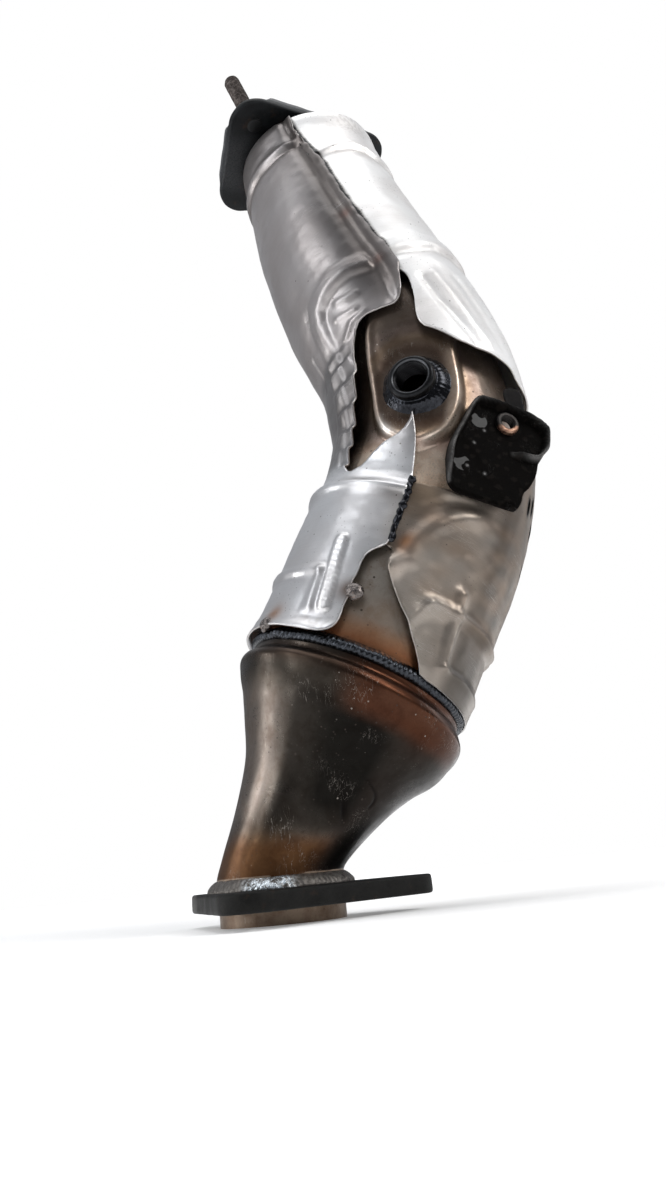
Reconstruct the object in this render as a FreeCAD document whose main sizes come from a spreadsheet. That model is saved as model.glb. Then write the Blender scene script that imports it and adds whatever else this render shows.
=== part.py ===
import FreeCAD, Part
import os
import math
import Sketcher
from FreeCAD import Vector, Placement, Rotation

# Exhaust manifold catalytic converter: a lower and an upper brick in steel
# cans joined by a pressed elbow, with a sensor boss, a three-lobed flange at
# each end, thin outer heat shields and a small pressed bracket.
# Origin: centre of the lower flange's joint face, Z up along its normal.

doc = FreeCAD.newDocument("converter")

# ---------------------------------------------------------------- sizes
sheet = doc.addObject("Spreadsheet::Sheet", "sizes")
sheet.Label = "sizes"
row = [0]


def size(alias, value):
    row[0] += 1
    sheet.set("A%d" % row[0], alias)
    sheet.set("B%d" % row[0], repr(float(value)))
    sheet.setAlias("B%d" % row[0], alias)
    return float(value)


SHEET_T = size("shield_sheet", 1.0)
WALL = size("can_wall", 1.5)
NECK_R = size("neck_outer_radius", 30.25)
FLANGE_T = size("lower_flange_thickness", 9.0)
LOW_R = size("lower_can_radius", 53.0)
LOW_LEN = size("lower_can_length", 86.0)
UP_R = size("upper_can_radius", 43.0)
UP_LEN = size("upper_can_length", 66.0)
PIPE_R = size("inlet_pipe_radius", 25.4)
UP_T = size("upper_flange_thickness", 4.0)
LIP_H = size("upper_flange_lip_height", 5.0)
LIP_T = size("upper_flange_lip_sheet", 2.5)
BOSS_R = size("sensor_boss_radius", 12.2)
BOSS_BORE = size("sensor_boss_bore_radius", 8.2)
BOSS_LEN = size("sensor_boss_length", 14.0)
HOLE_R = size("flange_hole_radius", 5.5)
STUD_R = size("stud_radius", 5.0)
STUD_LEN = size("stud_length", 51.0)
MAT_LOW = size("lower_brick_radius", 48.0)
MAT_UP = size("upper_brick_radius", 38.5)
BRK_T = size("bracket_sheet", 2.5)
PILOT = size("pilot_depth", 7.0)
PILOT_R = size("pilot_radius", 29.9)

# centre line and radius of the outer heat shield, top to bottom:
# x, y, z, radius, and the section's upward direction
ENV = [
    (48.1, 76.9, 452.6, 42.5, -0.2350, 0.2700, 0.9340),
    (51.9, 72.6, 428.7, 44.5, -0.1867, 0.2497, 0.9501),
    (63.1, 57.0, 376.7, 50.0, -0.2430, 0.2591, 0.9348),
    (77.7, 45.2, 329.6, 53.5, -0.3114, 0.2318, 0.9216),
    (94.2, 33.6, 283.8, 54.0, -0.2389, 0.2291, 0.9436),
    (99.1, 24.6, 244.3, 55.5, -0.0097, 0.1547, 0.9879),
    (95.0, 22.0, 209.9, 57.0, 0.2307, 0.0633, 0.9710),
    (83.2, 20.0, 177.1, 58.5, 0.4007, 0.1152, 0.9089),
    (62.8, 12.7, 136.5, 58.0, 0.4516, 0.1558, 0.8785),
    (45.1, 6.9, 102.8, 59.0, 0.4601, 0.1504, 0.8750),
]
for n_, e in enumerate(ENV):
    size("shield_radius_%s" % "abcdefghij"[n_], e[3])

# lower can axis (base at the ring weld) and upper can axis
DL = Vector(0.4535, 0.1531, 0.8776)
DL.normalize()
PL = Vector(43.6, 6.3, 100.0)
DU = Vector(-0.24, 0.25, 0.938)
DU.normalize()
PU = Vector(76.5, 45.5, 330.0)
# upper flange: under-face centre, normal and in-plane direction
FN = Vector(-0.2665, 0.3070, 0.9137)
FN.normalize()
FC = Vector(42.08, 77.91, 457.11)
FX = Vector(0.9638, 0.0849, 0.2526)
FX = FX - FN * FX.dot(FN)
FX.normalize()
FY = FN.cross(FX)
# sensor boss outer face
BD = Vector(-0.315, -0.937, 0.156)
BD.normalize()
BC = Vector(86.2, -29.8, 251.2)
# bracket plate: origin, in-plane directions and normal
KN = Vector(0.3811, -0.9025, 0.2006)
KN.normalize()
KX = Vector(0.9212, 0.3890, 0.0)
KX = KX - KN * KX.dot(KN)
KX.normalize()
KY = KN.cross(KX)
KO = Vector(116.54, -28.58, 208.40)


def frame(origin, xd, yd, zd):
    m = FreeCAD.Matrix(xd.x, yd.x, zd.x, origin.x,
                       xd.y, yd.y, zd.y, origin.y,
                       xd.z, yd.z, zd.z, origin.z,
                       0, 0, 0, 1)
    return Placement(m)


def axis_place(origin, direction):
    """Placement whose Z runs along a direction with the least turn."""
    return Placement(origin, Rotation(Vector(0, 0, 1), direction))


NODES = []


def body(name, placement=None):
    b = doc.addObject("PartDesign::Body", name)
    b.Label = name
    if placement is not None:
        b.Placement = placement
    return b


def plane(b, role="XY_Plane"):
    for f in b.Origin.OriginFeatures:
        if getattr(f, "Role", "") == role:
            return f
    raise RuntimeError(role)


def sketch(b, name, offset=None, role="XY_Plane"):
    s = b.newObject("Sketcher::SketchObject", name)
    s.AttachmentSupport = [(plane(b, role), "")]
    s.MapMode = "FlatFace"
    if offset is not None:
        s.AttachmentOffset = offset
    return s


def circle_sketch(b, name, r_expr, r, offset=None, role="XY_Plane", at=(0.0, 0.0)):
    s = sketch(b, name, offset, role)
    s.addGeometry(Part.Circle(Vector(at[0], at[1], 0), Vector(0, 0, 1), r), False)
    if at == (0.0, 0.0):
        s.addConstraint(Sketcher.Constraint("Coincident", 0, 3, -1, 1))
    k = s.addConstraint(Sketcher.Constraint("Radius", 0, r))
    s.renameConstraint(k, "radius")
    if r_expr:
        s.setExpression("Constraints.radius", r_expr)
    return s


def polygon(s, pts):
    n = len(pts)
    first = s.GeometryCount
    for k in range(n):
        a = pts[k]
        c = pts[(k + 1) % n]
        s.addGeometry(Part.LineSegment(Vector(a[0], a[1], 0), Vector(c[0], c[1], 0)), False)
    for k in range(n):
        s.addConstraint(Sketcher.Constraint("Coincident", first + k, 2, first + (k + 1) % n, 1))


def rounded(s, lobes):
    """Closed outline of tangent lines round a list of discs, counter-clockwise."""
    n = len(lobes)
    segs = []
    for k in range(n):
        x1, y1, r1 = lobes[k]
        x2, y2, r2 = lobes[(k + 1) % n]
        dx, dy = x2 - x1, y2 - y1
        d = math.hypot(dx, dy)
        base = math.atan2(dy, dx)
        off = math.acos((r1 - r2) / d)
        a = base - off
        segs.append(((x1 + r1 * math.cos(a), y1 + r1 * math.sin(a)),
                     (x2 + r2 * math.cos(a), y2 + r2 * math.sin(a)), a))
    first = s.GeometryCount
    cnt = 0
    for k in range(n):
        p, q, a = segs[k]
        s.addGeometry(Part.LineSegment(Vector(p[0], p[1], 0), Vector(q[0], q[1], 0)), False)
        x2, y2, r2 = lobes[(k + 1) % n]
        a2 = segs[(k + 1) % n][2]
        if a2 < a:
            a2 += 2 * math.pi
        c = Part.Circle(Vector(x2, y2, 0), Vector(0, 0, 1), r2)
        s.addGeometry(Part.ArcOfCircle(c, a, a2), False)
        cnt += 2
    for k in range(n):
        s.addConstraint(Sketcher.Constraint("Coincident", first + 2 * k, 2, first + 2 * k + 1, 1))
        s.addConstraint(Sketcher.Constraint("Coincident", first + 2 * k + 1, 2, first + (2 * k + 2) % cnt, 1))
    return segs


def holes(s, items):
    for x, y, r in items:
        s.addGeometry(Part.Circle(Vector(x, y, 0), Vector(0, 0, 1), r), False)


def pad(b, s, name, length, expr=None, rev=False):
    f = b.newObject("PartDesign::Pad", name)
    f.Profile = s
    f.Type = 0
    f.Length = length
    f.Reversed = rev
    if expr:
        f.setExpression("Length", expr)
    s.Visibility = False
    b.Tip = f
    return f


def pocket(b, s, name, length, expr=None, rev=False):
    f = b.newObject("PartDesign::Pocket", name)
    f.Profile = s
    f.Type = 0
    f.Length = length
    f.Reversed = rev
    if expr:
        f.setExpression("Length", expr)
    s.Visibility = False
    b.Tip = f
    return f


def loft(b, name, secs, kind="PartDesign::AdditiveLoft"):
    """secs: x, y, z, direction, radius, radius expression."""
    sk = []
    for k, (x, y, z, d, r, e) in enumerate(secs):
        off = axis_place(Vector(x, y, z), d)
        sk.append(circle_sketch(b, "%s_s%d" % (name, k), e, r, off))
    f = b.newObject(kind, name)
    f.Profile = sk[0]
    f.Sections = [(q, [""]) for q in sk[1:]]
    f.Ruled = False
    f.Closed = False
    for q in sk:
        q.Visibility = False
    b.Tip = f
    return f


def revolve(b, name, pts, placement_role="XZ_Plane"):
    """Ring profile in radius, height turned about the body's Z."""
    s = sketch(b, name + "_profile", None, placement_role)
    polygon(s, pts)
    f = b.newObject("PartDesign::Revolution", name)
    f.Profile = s
    f.ReferenceAxis = (s, ["V_Axis"])
    f.Angle = 360.0
    s.Visibility = False
    b.Tip = f
    return f


def tube(name, placement, r_out, r_in, z0, z1):
    b = body(name, placement)
    revolve(b, "ring", [(r_in, z0), (r_out, z0), (r_out, z1), (r_in, z1)])
    NODES.append(b)
    return b


# ---------------------------------------------------------------- lower flange
b = body("lower_flange")
s = sketch(b, "outline")
rounded(s, [(-9.7, -50.0, 15.0), (56.0, 10.0, 16.0), (-34.5, 31.0, 13.0)])
holes(s, [(0, 0, NECK_R), (-9.7, -50.0, HOLE_R), (56.0, 10.0, HOLE_R), (-34.5, 31.0, HOLE_R)])
pad(b, s, "plate", FLANGE_T, "sizes.lower_flange_thickness")
NODES.append(b)

# ring of weld between flange and neck
b = body("lower_flange_weld")
revolve(b, "bead", [(NECK_R, 9.0), (34.6, 9.0), (34.2, 10.6), (32.9, 12.4), (31.2, 13.8), (NECK_R, 14.2)])
NODES.append(b)

# ---------------------------------------------------------------- lower cone
V = Vector
CONE = [  # from the sleeve under the ring weld down to the neck
    (PL - DL * 4.0, DL, 54.5),
    (V(40.3, 5.2, 93.4), DL, 57.6),
    (V(38.6, 4.3, 86.6), DL, 57.6),
    (V(33.5, 1.8, 71.6), V(0.415, 0.140, 0.899), 50.0),
    (V(27.0, 0.8, 58.6), V(0.325, 0.108, 0.940), 41.8),
    (V(19.0, 0.2, 45.6), V(0.213, 0.072, 0.974), 36.8),
    (V(10.5, 0.0, 32.6), V(0.115, 0.038, 0.993), 33.4),
    (V(3.6, 0.0, 22.0), V(0.045, 0.015, 0.999), 31.1),
    (V(0.0, 0.0, 15.0), V(0, 0, 1), NECK_R),
]
# the straight neck is its own tube; the cone is cut across at CUT, where the
# reducer ends and the wide part begins
b = body("outlet_neck")
revolve(b, "ring", [(NECK_R - WALL, -PILOT), (PILOT_R, -PILOT), (PILOT_R, 0.0), (NECK_R, 0.0), (NECK_R, 15.0),
                    (NECK_R - WALL, 15.0)])
NODES.append(b)
CUT = axis_place(CONE[5][0], CONE[5][1])


def cone(name, upper):
    b = body(name)
    loft(b, "outer", [(c.x, c.y, c.z, d, r, "sizes.neck_outer_radius" if r == NECK_R else None) for c, d, r in CONE])
    if upper:
        s = circle_sketch(b, "sleeve_outer", None, 54.5, axis_place(PL - DL * 4.0, DL))
        pad(b, s, "sleeve", 4.0)
    loft(b, "inner", [(c.x, c.y, c.z, d, r - WALL, "sizes.neck_outer_radius - sizes.can_wall" if r == NECK_R else None)
                      for c, d, r in CONE], "PartDesign::SubtractiveLoft")
    if upper:
        s = circle_sketch(b, "sleeve_inner", "sizes.lower_can_radius", LOW_R, axis_place(PL - DL * 4.0, DL))
        pocket(b, s, "sleeve_bore", 4.0, rev=True)
    s = sketch(b, "cut", CUT)
    polygon(s, [(-150, -150), (150, -150), (150, 150), (-150, 150)])
    pocket(b, s, "cut_across", 150.0, rev=not upper)
    NODES.append(b)


cone("outlet_reducer", False)
cone("lower_cone", True)

# ---------------------------------------------------------------- lower can
PLP = axis_place(PL, DL)
tube("lower_canister", PLP, LOW_R, LOW_R - WALL, -4.0, LOW_LEN - 4.0)
tube("lower_mat", PLP, LOW_R - WALL, MAT_LOW, 6.0, 74.0)
b = body("lower_brick", PLP)
s = circle_sketch(b, "face", "sizes.lower_brick_radius", MAT_LOW, Placement(V(0, 0, 2), Rotation()))
pad(b, s, "brick", 76.0)
NODES.append(b)
b = body("ring_weld", PLP)
revolve(b, "bead", [(LOW_R, 0.0), (54.4, 0.0), (56.2, 0.9), (56.4, 2.2), (55.4, 4.2), (54.0, 5.6), (LOW_R, 6.0)])
NODES.append(b)

# ---------------------------------------------------------------- pressed elbow
TOPL = PL + DL * (LOW_LEN - 4.0)
ELBOW = [
    (TOPL, DL, 54.5),
    (V(94.6, 22.2, 209.9), V(0.2307, 0.0633, 0.9710), 49.6),
    (V(99.1, 24.8, 244.3), V(-0.0097, 0.1547, 0.9879), 47.5),
    (V(94.6, 33.2, 283.8), V(-0.2000, 0.2291, 0.9520), 46.6),
    (V(84.3, 41.4, 310.0), V(-0.2500, 0.2450, 0.9370), 45.2),
    (PU, DU, 44.5),
]


def elbow(name, front):
    b = body(name)
    loft(b, "outer", [(c.x, c.y, c.z, d, r, None) for c, d, r in ELBOW])
    s = circle_sketch(b, "low_sleeve_outer", None, 54.5, axis_place(PL + DL * 74.0, DL))
    pad(b, s, "low_sleeve", 8.0)
    s = circle_sketch(b, "up_sleeve_outer", None, 44.5, axis_place(PU, DU))
    pad(b, s, "up_sleeve", 10.0)
    loft(b, "inner", [(c.x, c.y, c.z, d, r - WALL, None) for c, d, r in ELBOW], "PartDesign::SubtractiveLoft")
    s = circle_sketch(b, "low_sleeve_inner", "sizes.lower_can_radius", LOW_R, axis_place(PL + DL * 74.0, DL))
    pocket(b, s, "low_sleeve_bore", 8.0, rev=True)
    s = circle_sketch(b, "up_sleeve_inner", "sizes.upper_can_radius", UP_R, axis_place(PU, DU))
    pocket(b, s, "up_sleeve_bore", 10.0, rev=True)
    # split plane leaning with the centre line
    tilt = Placement(V(0, -7.0, 0), Rotation(V(1, 0, 0), 81.0))
    s = sketch(b, "split", tilt)
    polygon(s, [(-100, 0), (300, 0), (300, 500), (-100, 500)])
    pocket(b, s, "split_cut", 200.0, rev=not front)
    if front:
        s = circle_sketch(b, "boss_hole", "sizes.sensor_boss_radius", BOSS_R, axis_place(BC, BD))
        pocket(b, s, "boss_hole_cut", 30.0)
    NODES.append(b)
    return b


elbow("mid_shell_front", True)
elbow("mid_shell_rear", False)

# ---------------------------------------------------------------- sensor boss
BP = axis_place(BC, BD)
b = body("sensor_boss", BP)
revolve(b, "boss", [(BOSS_BORE, -BOSS_LEN), (BOSS_R, -BOSS_LEN), (BOSS_R, -1.0), (BOSS_R - 1.0, 0.0),
                    (BOSS_BORE + 1.2, 0.0), (BOSS_BORE, -1.2)])
NODES.append(b)

# ---------------------------------------------------------------- upper can
PUP = axis_place(PU, DU)
tube("upper_canister", PUP, UP_R, UP_R - WALL, 0.0, UP_LEN)
tube("upper_mat", PUP, UP_R - WALL, MAT_UP, 7.0, 59.0)
b = body("upper_brick", PUP)
s = circle_sketch(b, "face", "sizes.upper_brick_radius", MAT_UP, Placement(V(0, 0, 4), Rotation()))
pad(b, s, "brick", 58.0)
NODES.append(b)

TOPU = PU + DU * UP_LEN
NECKU = FC - FN * 10.0
UCONE = [
    (TOPU, DU, 44.5),
    (V(57.2, 65.6, 404.0), DU, 41.6),
    (V(52.6, 70.2, 421.0), V(-0.250, 0.270, 0.930), 32.4),
    (V(48.2, 73.2, 436.0), V(-0.260, 0.295, 0.919), 27.0),
    (NECKU, FN, PIPE_R),
]
b = body("upper_cone")
loft(b, "outer", [(c.x, c.y, c.z, d, r, "sizes.inlet_pipe_radius" if r == PIPE_R else None) for c, d, r in UCONE])
s = circle_sketch(b, "sleeve_outer", None, 44.5, axis_place(PU + DU * (UP_LEN - 8.0), DU))
pad(b, s, "sleeve", 8.0)
s = circle_sketch(b, "pipe_outer", "sizes.inlet_pipe_radius", PIPE_R, axis_place(NECKU, FN))
pad(b, s, "pipe", 10.0 + UP_T, "10 + sizes.upper_flange_thickness")
loft(b, "inner", [(c.x, c.y, c.z, d, r - WALL, "sizes.inlet_pipe_radius - sizes.can_wall" if r == PIPE_R else None)
                  for c, d, r in UCONE], "PartDesign::SubtractiveLoft")
s = circle_sketch(b, "sleeve_inner", "sizes.upper_can_radius", UP_R, axis_place(PU + DU * (UP_LEN - 8.0), DU))
pocket(b, s, "sleeve_bore", 8.0, rev=True)
s = circle_sketch(b, "pipe_inner", "sizes.inlet_pipe_radius - sizes.can_wall", PIPE_R - WALL, axis_place(NECKU, FN))
pocket(b, s, "pipe_bore", 10.0 + UP_T, "10 + sizes.upper_flange_thickness", rev=True)
NODES.append(b)

# ---------------------------------------------------------------- upper flange
UF = frame(FC, FX, FY, FN)
LOBES = [(-38.0, 9.8), (-26.1, -33.2), (41.3, 8.5), (2.0, 20.0)]
b = body("upper_flange", UF)
s = sketch(b, "outline")
rounded(s, [(x, y, 16.0) for x, y in LOBES])
holes(s, [(0, 0, PIPE_R), (-26.1, -33.2, STUD_R), (41.3, 8.5, HOLE_R)])
pad(b, s, "plate", UP_T, "sizes.upper_flange_thickness")
s = sketch(b, "lips", Placement(V(0, 0, UP_T), Rotation()))
for (p, q, m0, m1) in ((LOBES[0], LOBES[1], 6.0, 8.0), (LOBES[1], LOBES[2], 10.0, 12.0)):
    dx, dy = q[0] - p[0], q[1] - p[1]
    d = math.hypot(dx, dy)
    dx, dy = dx / d, dy / d
    nx, ny = dy, -dx
    a = (p[0] + dx * m0, p[1] + dy * m0)
    c = (q[0] - dx * m1, q[1] - dy * m1)
    polygon(s, [(a[0] + nx * 16.0, a[1] + ny * 16.0), (c[0] + nx * 16.0, c[1] + ny * 16.0),
                (c[0] + nx * (16.0 - LIP_T), c[1] + ny * (16.0 - LIP_T)),
                (a[0] + nx * (16.0 - LIP_T), a[1] + ny * (16.0 - LIP_T))])
pad(b, s, "upturned_lips", LIP_H, "sizes.upper_flange_lip_height")
NODES.append(b)

b = body("upper_flange_weld", UF)
revolve(b, "bead", [(PIPE_R, 0.0), (PIPE_R, -5.0), (26.4, -4.6), (28.0, -3.0), (29.2, -1.2), (29.4, 0.0)])
NODES.append(b)

b = body("upper_stud", UF * Placement(V(-26.1, -33.2, 0), Rotation()))
revolve(b, "stud", [(0, -1.0), (6.6, -1.0), (6.6, 0.0), (STUD_R, 0.0), (STUD_R, 4.0), (4.7, 4.4), (4.7, 16.0),
                    (STUD_R, 16.6), (STUD_R, STUD_LEN - 6.0), (4.2, STUD_LEN - 4.8), (3.8, STUD_LEN - 0.8),
                    (3.0, STUD_LEN), (0, STUD_LEN)])
NODES.append(b)

# ---------------------------------------------------------------- heat shields
UPV = [Vector(e[4], e[5], e[6]) for e in ENV]
TRIM = Placement(V(0, -13.0, 0), Rotation(V(1, 0, 0), math.degrees(math.atan2(1.0, 0.2))))
AXIS_UV = [(48.1, 461.4), (51.9, 437.2), (63.1, 383.1), (77.7, 334.6), (94.2, 287.4),
           (99.1, 247.0), (95.0, 212.7), (83.2, 180.2), (62.8, 138.9), (45.1, 104.7)]


def shield(name, skin, keep_front, keep_back, slots=()):
    b = body(name)
    rows = list(range(10))
    k0 = "abcdefghij"
    loft(b, "outer", [(ENV[k][0], ENV[k][1], ENV[k][2], UPV[k], ENV[k][3] - skin,
                       "sizes.shield_radius_%s - %g * sizes.shield_sheet" % (k0[k], skin)) for k in rows])
    loft(b, "inner", [(ENV[k][0], ENV[k][1], ENV[k][2], UPV[k], ENV[k][3] - skin - SHEET_T,
                       "sizes.shield_radius_%s - %g * sizes.shield_sheet" % (k0[k], skin + 1)) for k in rows],
         "PartDesign::SubtractiveLoft")
    for tag, keep, rev in (("front", keep_front, True), ("back", keep_back, False)):
        s = sketch(b, "trim_" + tag, TRIM)
        polygon(s, [(-140, -60), (340, -60), (340, 560), (-140, 560)])
        polygon(s, keep)
        pocket(b, s, "trim_%s_cut" % tag, 260.0, rev=rev)
    if slots:
        s = sketch(b, "slots", frame(V(118, 0, 0), V(0, 1, 0), V(0, 0, 1), V(1, 0, 0)))
        for y, z, w, h, lean in slots:
            polygon(s, [(y - w - lean, z - h), (y + w - lean, z - h), (y + w + lean, z + h), (y - w + lean, z + h)])
        pocket(b, s, "slots_cut", 60.0, rev=True)
    NODES.append(b)
    return b


SEAM = [(37.9, 464.0), (57.2, 411.1), (60.8, 397.4), (75.2, 355.6), (83.2, 337.0), (86.4, 326.6), (89.1, 316.5)]
WINDOW = [(88.9, 308.0), (88.5, 302.2), (87.4, 296.8), (85.0, 293.9), (73.1, 291.9), (67.2, 290.9), (62.5, 287.4),
          (60.1, 279.4), (59.5, 273.1), (59.6, 262.9), (58.0, 252.0), (56.0, 241.9), (53.9, 231.6), (52.1, 223.3),
          (48.4, 211.1), (48.1, 207.5), (50.4, 203.3), (53.0, 203.4), (56.7, 204.4), (63.8, 210.5), (71.5, 212.4),
          (78.2, 214.7), (83.2, 219.5), (85.2, 223.6), (85.4, 212.7), (83.3, 198.5), (80.9, 186.6)]
CHAIN = [(80.3, 185.6), (76.5, 177.4), (72.6, 168.5), (68.9, 160.9), (66.7, 154.1)]
LOWL = [(64.6, 151.7), (56.8, 149.8), (53.2, 146.7), (50.1, 139.6), (46.9, 134.8), (46.4, 130.0), (42.1, 123.8),
        (40.3, 118.8), (35.1, 112.4), (29.7, 108.3), (24.5, 106.9), (20.3, 108.0), (13.7, 110.8), (3.4, 116.3),
        (-0.9, 118.6), (-9.5, 125.9), (-60.0, 122.0)]
left_front = [(34.0, 500.0)] + SEAM + WINDOW + CHAIN + LOWL + [(-60.0, 500.0)]
left_back = [(44.0, 500.0)] + AXIS_UV + [(40.0, 60.0), (-60.0, 60.0), (-60.0, 500.0)]
shield("left_shield", 0.0, left_front, left_back)

# the right-hand shields run 6 mm under the left one's edge
LAP = 6.0
upper_right_front = ([(28.0, 500.0), (37.9 - LAP, 464.0)] + [(u - LAP, v) for u, v in SEAM[1:6]]
                     + [(84.0, 322.0), (89.4, 317.6), (92.9, 312.6), (95.0, 298.5), (94.3, 288.0), (95.2, 278.7),
                        (104.2, 271.6), (117.6, 262.9), (129.5, 259.7), (140.0, 257.5), (143.4, 256.3),
                        (145.4, 250.8), (220.0, 250.8), (220.0, 500.0)])
upper_right_back = ([(38.0, 500.0)] + [(u - LAP, v) for u, v in AXIS_UV[:5]]
                    + [(92.6, 250.8), (220.0, 250.8), (220.0, 500.0)])
shield("upper_right_shield", 1.0, upper_right_front, upper_right_back)

# small drain slots: y, z, half width, half height, lean
SLOTS = [(-1.3, 185.3, 1.5, 3.2, 0.8), (5.4, 186.2, 1.5, 3.4, 1.0), (11.2, 174.6, 1.5, 3.2, 0.8),
         (9.5, 154.7, 1.3, 2.6, 0.6)]
lower_right_front = ([(75.4, 187.6), (81.6, 184.3), (97.1, 179.4), (110.0, 175.8), (123.9, 174.9), (130.0, 175.3),
                      (133.0, 176.2), (136.5, 180.2), (139.2, 188.0), (143.7, 193.0), (149.2, 205.7), (220.0, 205.7),
                      (220.0, 20.0), (60.0, 20.0), (74.4, 80.2), (74.4, 89.2), (74.1, 98.5), (71.4, 111.7),
                      (67.3, 125.2), (65.2, 133.0), (63.8, 140.1), (64.6, 147.0), (62.4, 150.6)]
                     + [(u - LAP, v) for u, v in CHAIN[::-1]])
lower_right_front = lower_right_front[::-1]
lower_right_back = ([(93.0 - 4.0, 205.7), (220.0, 205.7), (220.0, 20.0), (30.0, 20.0)]
                    + [(u - LAP, v) for u, v in AXIS_UV[:6:-1]])[::-1]
shield("lower_right_shield", 1.0, lower_right_front, lower_right_back, SLOTS)

# ---------------------------------------------------------------- bracket
KP = frame(KO, KX, KY, KN)
PLATE = [(4.8, 30.6), (1.2, 27.8), (-6.8, 16.2), (-14.1, 6.7), (-17.6, 0.0), (-19.8, -6.0), (-22.6, -22.6),
         (-8.0, -27.6), (8.9, -33.4), (12.1, -33.8), (15.6, -30.0), (18.9, -23.1), (23.0, -20.8), (29.3, -12.9),
         (33.0, -3.8), (38.5, 0.8), (40.5, 5.8), (42.5, 12.7), (42.4, 14.5), (38.7, 18.6), (32.7, 22.8),
         (19.8, 27.9), (7.9, 31.5)]
RIM = [(-22.2, -18.0), (-19.8, -6.0), (-17.6, 0.0), (-14.1, 6.7), (-6.8, 16.2), (1.2, 27.8), (4.8, 30.6), (7.9, 31.5),
       (19.8, 27.9), (32.7, 22.8), (38.7, 18.6), (42.4, 14.5), (42.5, 12.7), (40.5, 5.8), (38.5, 0.8), (33.0, -3.8),
       (28.2, -4.1), (25.0, -3.1), (18.4, -1.7)]


def offset_line(pts, dist):
    out = []
    n = len(pts)
    for k in range(n):
        a = pts[max(k - 1, 0)]
        c = pts[min(k + 1, n - 1)]
        dx, dy = c[0] - a[0], c[1] - a[1]
        d = math.hypot(dx, dy)
        out.append((pts[k][0] + dy / d * dist, pts[k][1] - dx / d * dist))
    return out


b = body("bracket", KP)
s = sketch(b, "outline")
polygon(s, PLATE)
holes(s, [(19.4, 16.6, 3.4)])
pad(b, s, "plate", BRK_T, "sizes.bracket_sheet")
s = sketch(b, "rim", Placement(V(0, 0, BRK_T), Rotation()))
polygon(s, RIM + offset_line(RIM, 2.2)[::-1])
pad(b, s, "rolled_rim", 5.0)
NODES.append(b)

b = body("bracket_rear_tab", KP)
s = sketch(b, "outline")
polygon(s, [(25.6, 20.5), (25.4, 38.0), (25.9, 41.0), (27.6, 42.6), (30.4, 43.0), (33.6, 42.4), (35.8, 40.6),
            (36.6, 38.0), (35.9, 32.0), (35.0, 20.5)])
pad(b, s, "tab", 3.0, rev=True)
NODES.append(b)

b = body("bracket_nut", KP * Placement(V(19.4, 16.6, BRK_T), Rotation()))
revolve(b, "nut", [(3.4, 0.0), (6.4, 0.0), (6.4, 1.2), (5.2, 2.4), (3.4, 2.4)])
NODES.append(b)


def solid_copy(name, secs):
    """Plain lofted solid used only to trim the small welds."""
    h = body(name)
    loft(h, "solid", secs)
    return h


# weld ring round the sensor boss, sitting on the elbow's outer face
helper = solid_copy("elbow_form", [(c.x, c.y, c.z, d, r, None) for c, d, r in ELBOW])
ringo = doc.addObject("Part::Cone", "boss_weld_cone")
ringo.Radius1 = 18.2
ringo.Radius2 = 13.0
ringo.Height = 9.0
ringo.Placement = BP * Placement(V(0, 0, -13.5), Rotation())
core = doc.addObject("Part::Cylinder", "boss_weld_core")
core.Radius = BOSS_R
core.setExpression("Radius", "sizes.sensor_boss_radius")
core.Height = 20.0
core.Placement = BP * Placement(V(0, 0, -19.0), Rotation())
c1 = doc.addObject("Part::Cut", "boss_weld_ring")
c1.Base = ringo
c1.Tool = core
c2 = doc.addObject("Part::Cut", "boss_weld")
c2.Base = c1
c2.Tool = helper
c2.Label = "boss_weld"
NODES.append(c2)

# two spots of weld between the bracket's back and the elbow
for name, at in (("bracket_weld_low", (-12.0, -8.0)), ("bracket_weld_high", (4.0, 18.0))):
    cy = doc.addObject("Part::Cylinder", name + "_stub")
    cy.Radius = 4.5
    cy.Height = 16.0
    cy.Placement = KP * Placement(V(at[0], at[1], -16.0), Rotation())
    ct = doc.addObject("Part::Cut", name)
    ct.Base = cy
    ct.Tool = helper
    ct.Label = name
    NODES.append(ct)

# two weld tacks that hold the left shield off the lower can
inner = solid_copy("shield_form", [(ENV[k][0], ENV[k][1], ENV[k][2], UPV[k], ENV[k][3] - SHEET_T, None)
                                   for k in range(10)])
can = doc.addObject("Part::Cylinder", "can_form")
can.Radius = LOW_R
can.setExpression("Radius", "sizes.lower_can_radius")
can.Height = 120.0
can.Placement = axis_place(PL - DL * 20.0, DL)
for name, at in (("shield_tack_front", V(44.9, -43.6, 138.6)), ("shield_tack_left", V(7.9, -26.2, 136.8))):
    axis_pt = PL + DL * (at - PL).dot(DL)
    rad = at - axis_pt
    rad.normalize()
    cy = doc.addObject("Part::Cylinder", name + "_stub")
    cy.Radius = 4.2
    cy.Height = 20.0
    cy.Placement = axis_place(axis_pt + rad * 46.0, rad)
    cm = doc.addObject("Part::Common", name + "_inside")
    cm.Base = cy
    cm.Tool = inner
    ct = doc.addObject("Part::Cut", name)
    ct.Base = cm
    ct.Tool = can
    ct.Label = name
    NODES.append(ct)

doc.recompute()
bad = []
for o in doc.Objects:
    st = [str(x) for x in o.State]
    if "Invalid" in st or "Error" in st:
        bad.append((o.Name, st))
if bad:
    raise RuntimeError("features failed: %r" % bad)
os.makedirs("parts", exist_ok=True)
for n in NODES:
    sh = n.Shape
    if sh.isNull() or not sh.isValid() or len(sh.Solids) < 1:
        raise RuntimeError("bad shape: " + n.Label)
    print("%-22s solids %d vol %.0f bb %.0f %.0f %.0f .. %.0f %.0f %.0f" % (
        n.Label, len(sh.Solids), sh.Volume, sh.BoundBox.XMin, sh.BoundBox.YMin, sh.BoundBox.ZMin,
        sh.BoundBox.XMax, sh.BoundBox.YMax, sh.BoundBox.ZMax))
    sh.exportStep("parts/%s.step" % n.Label)
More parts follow.
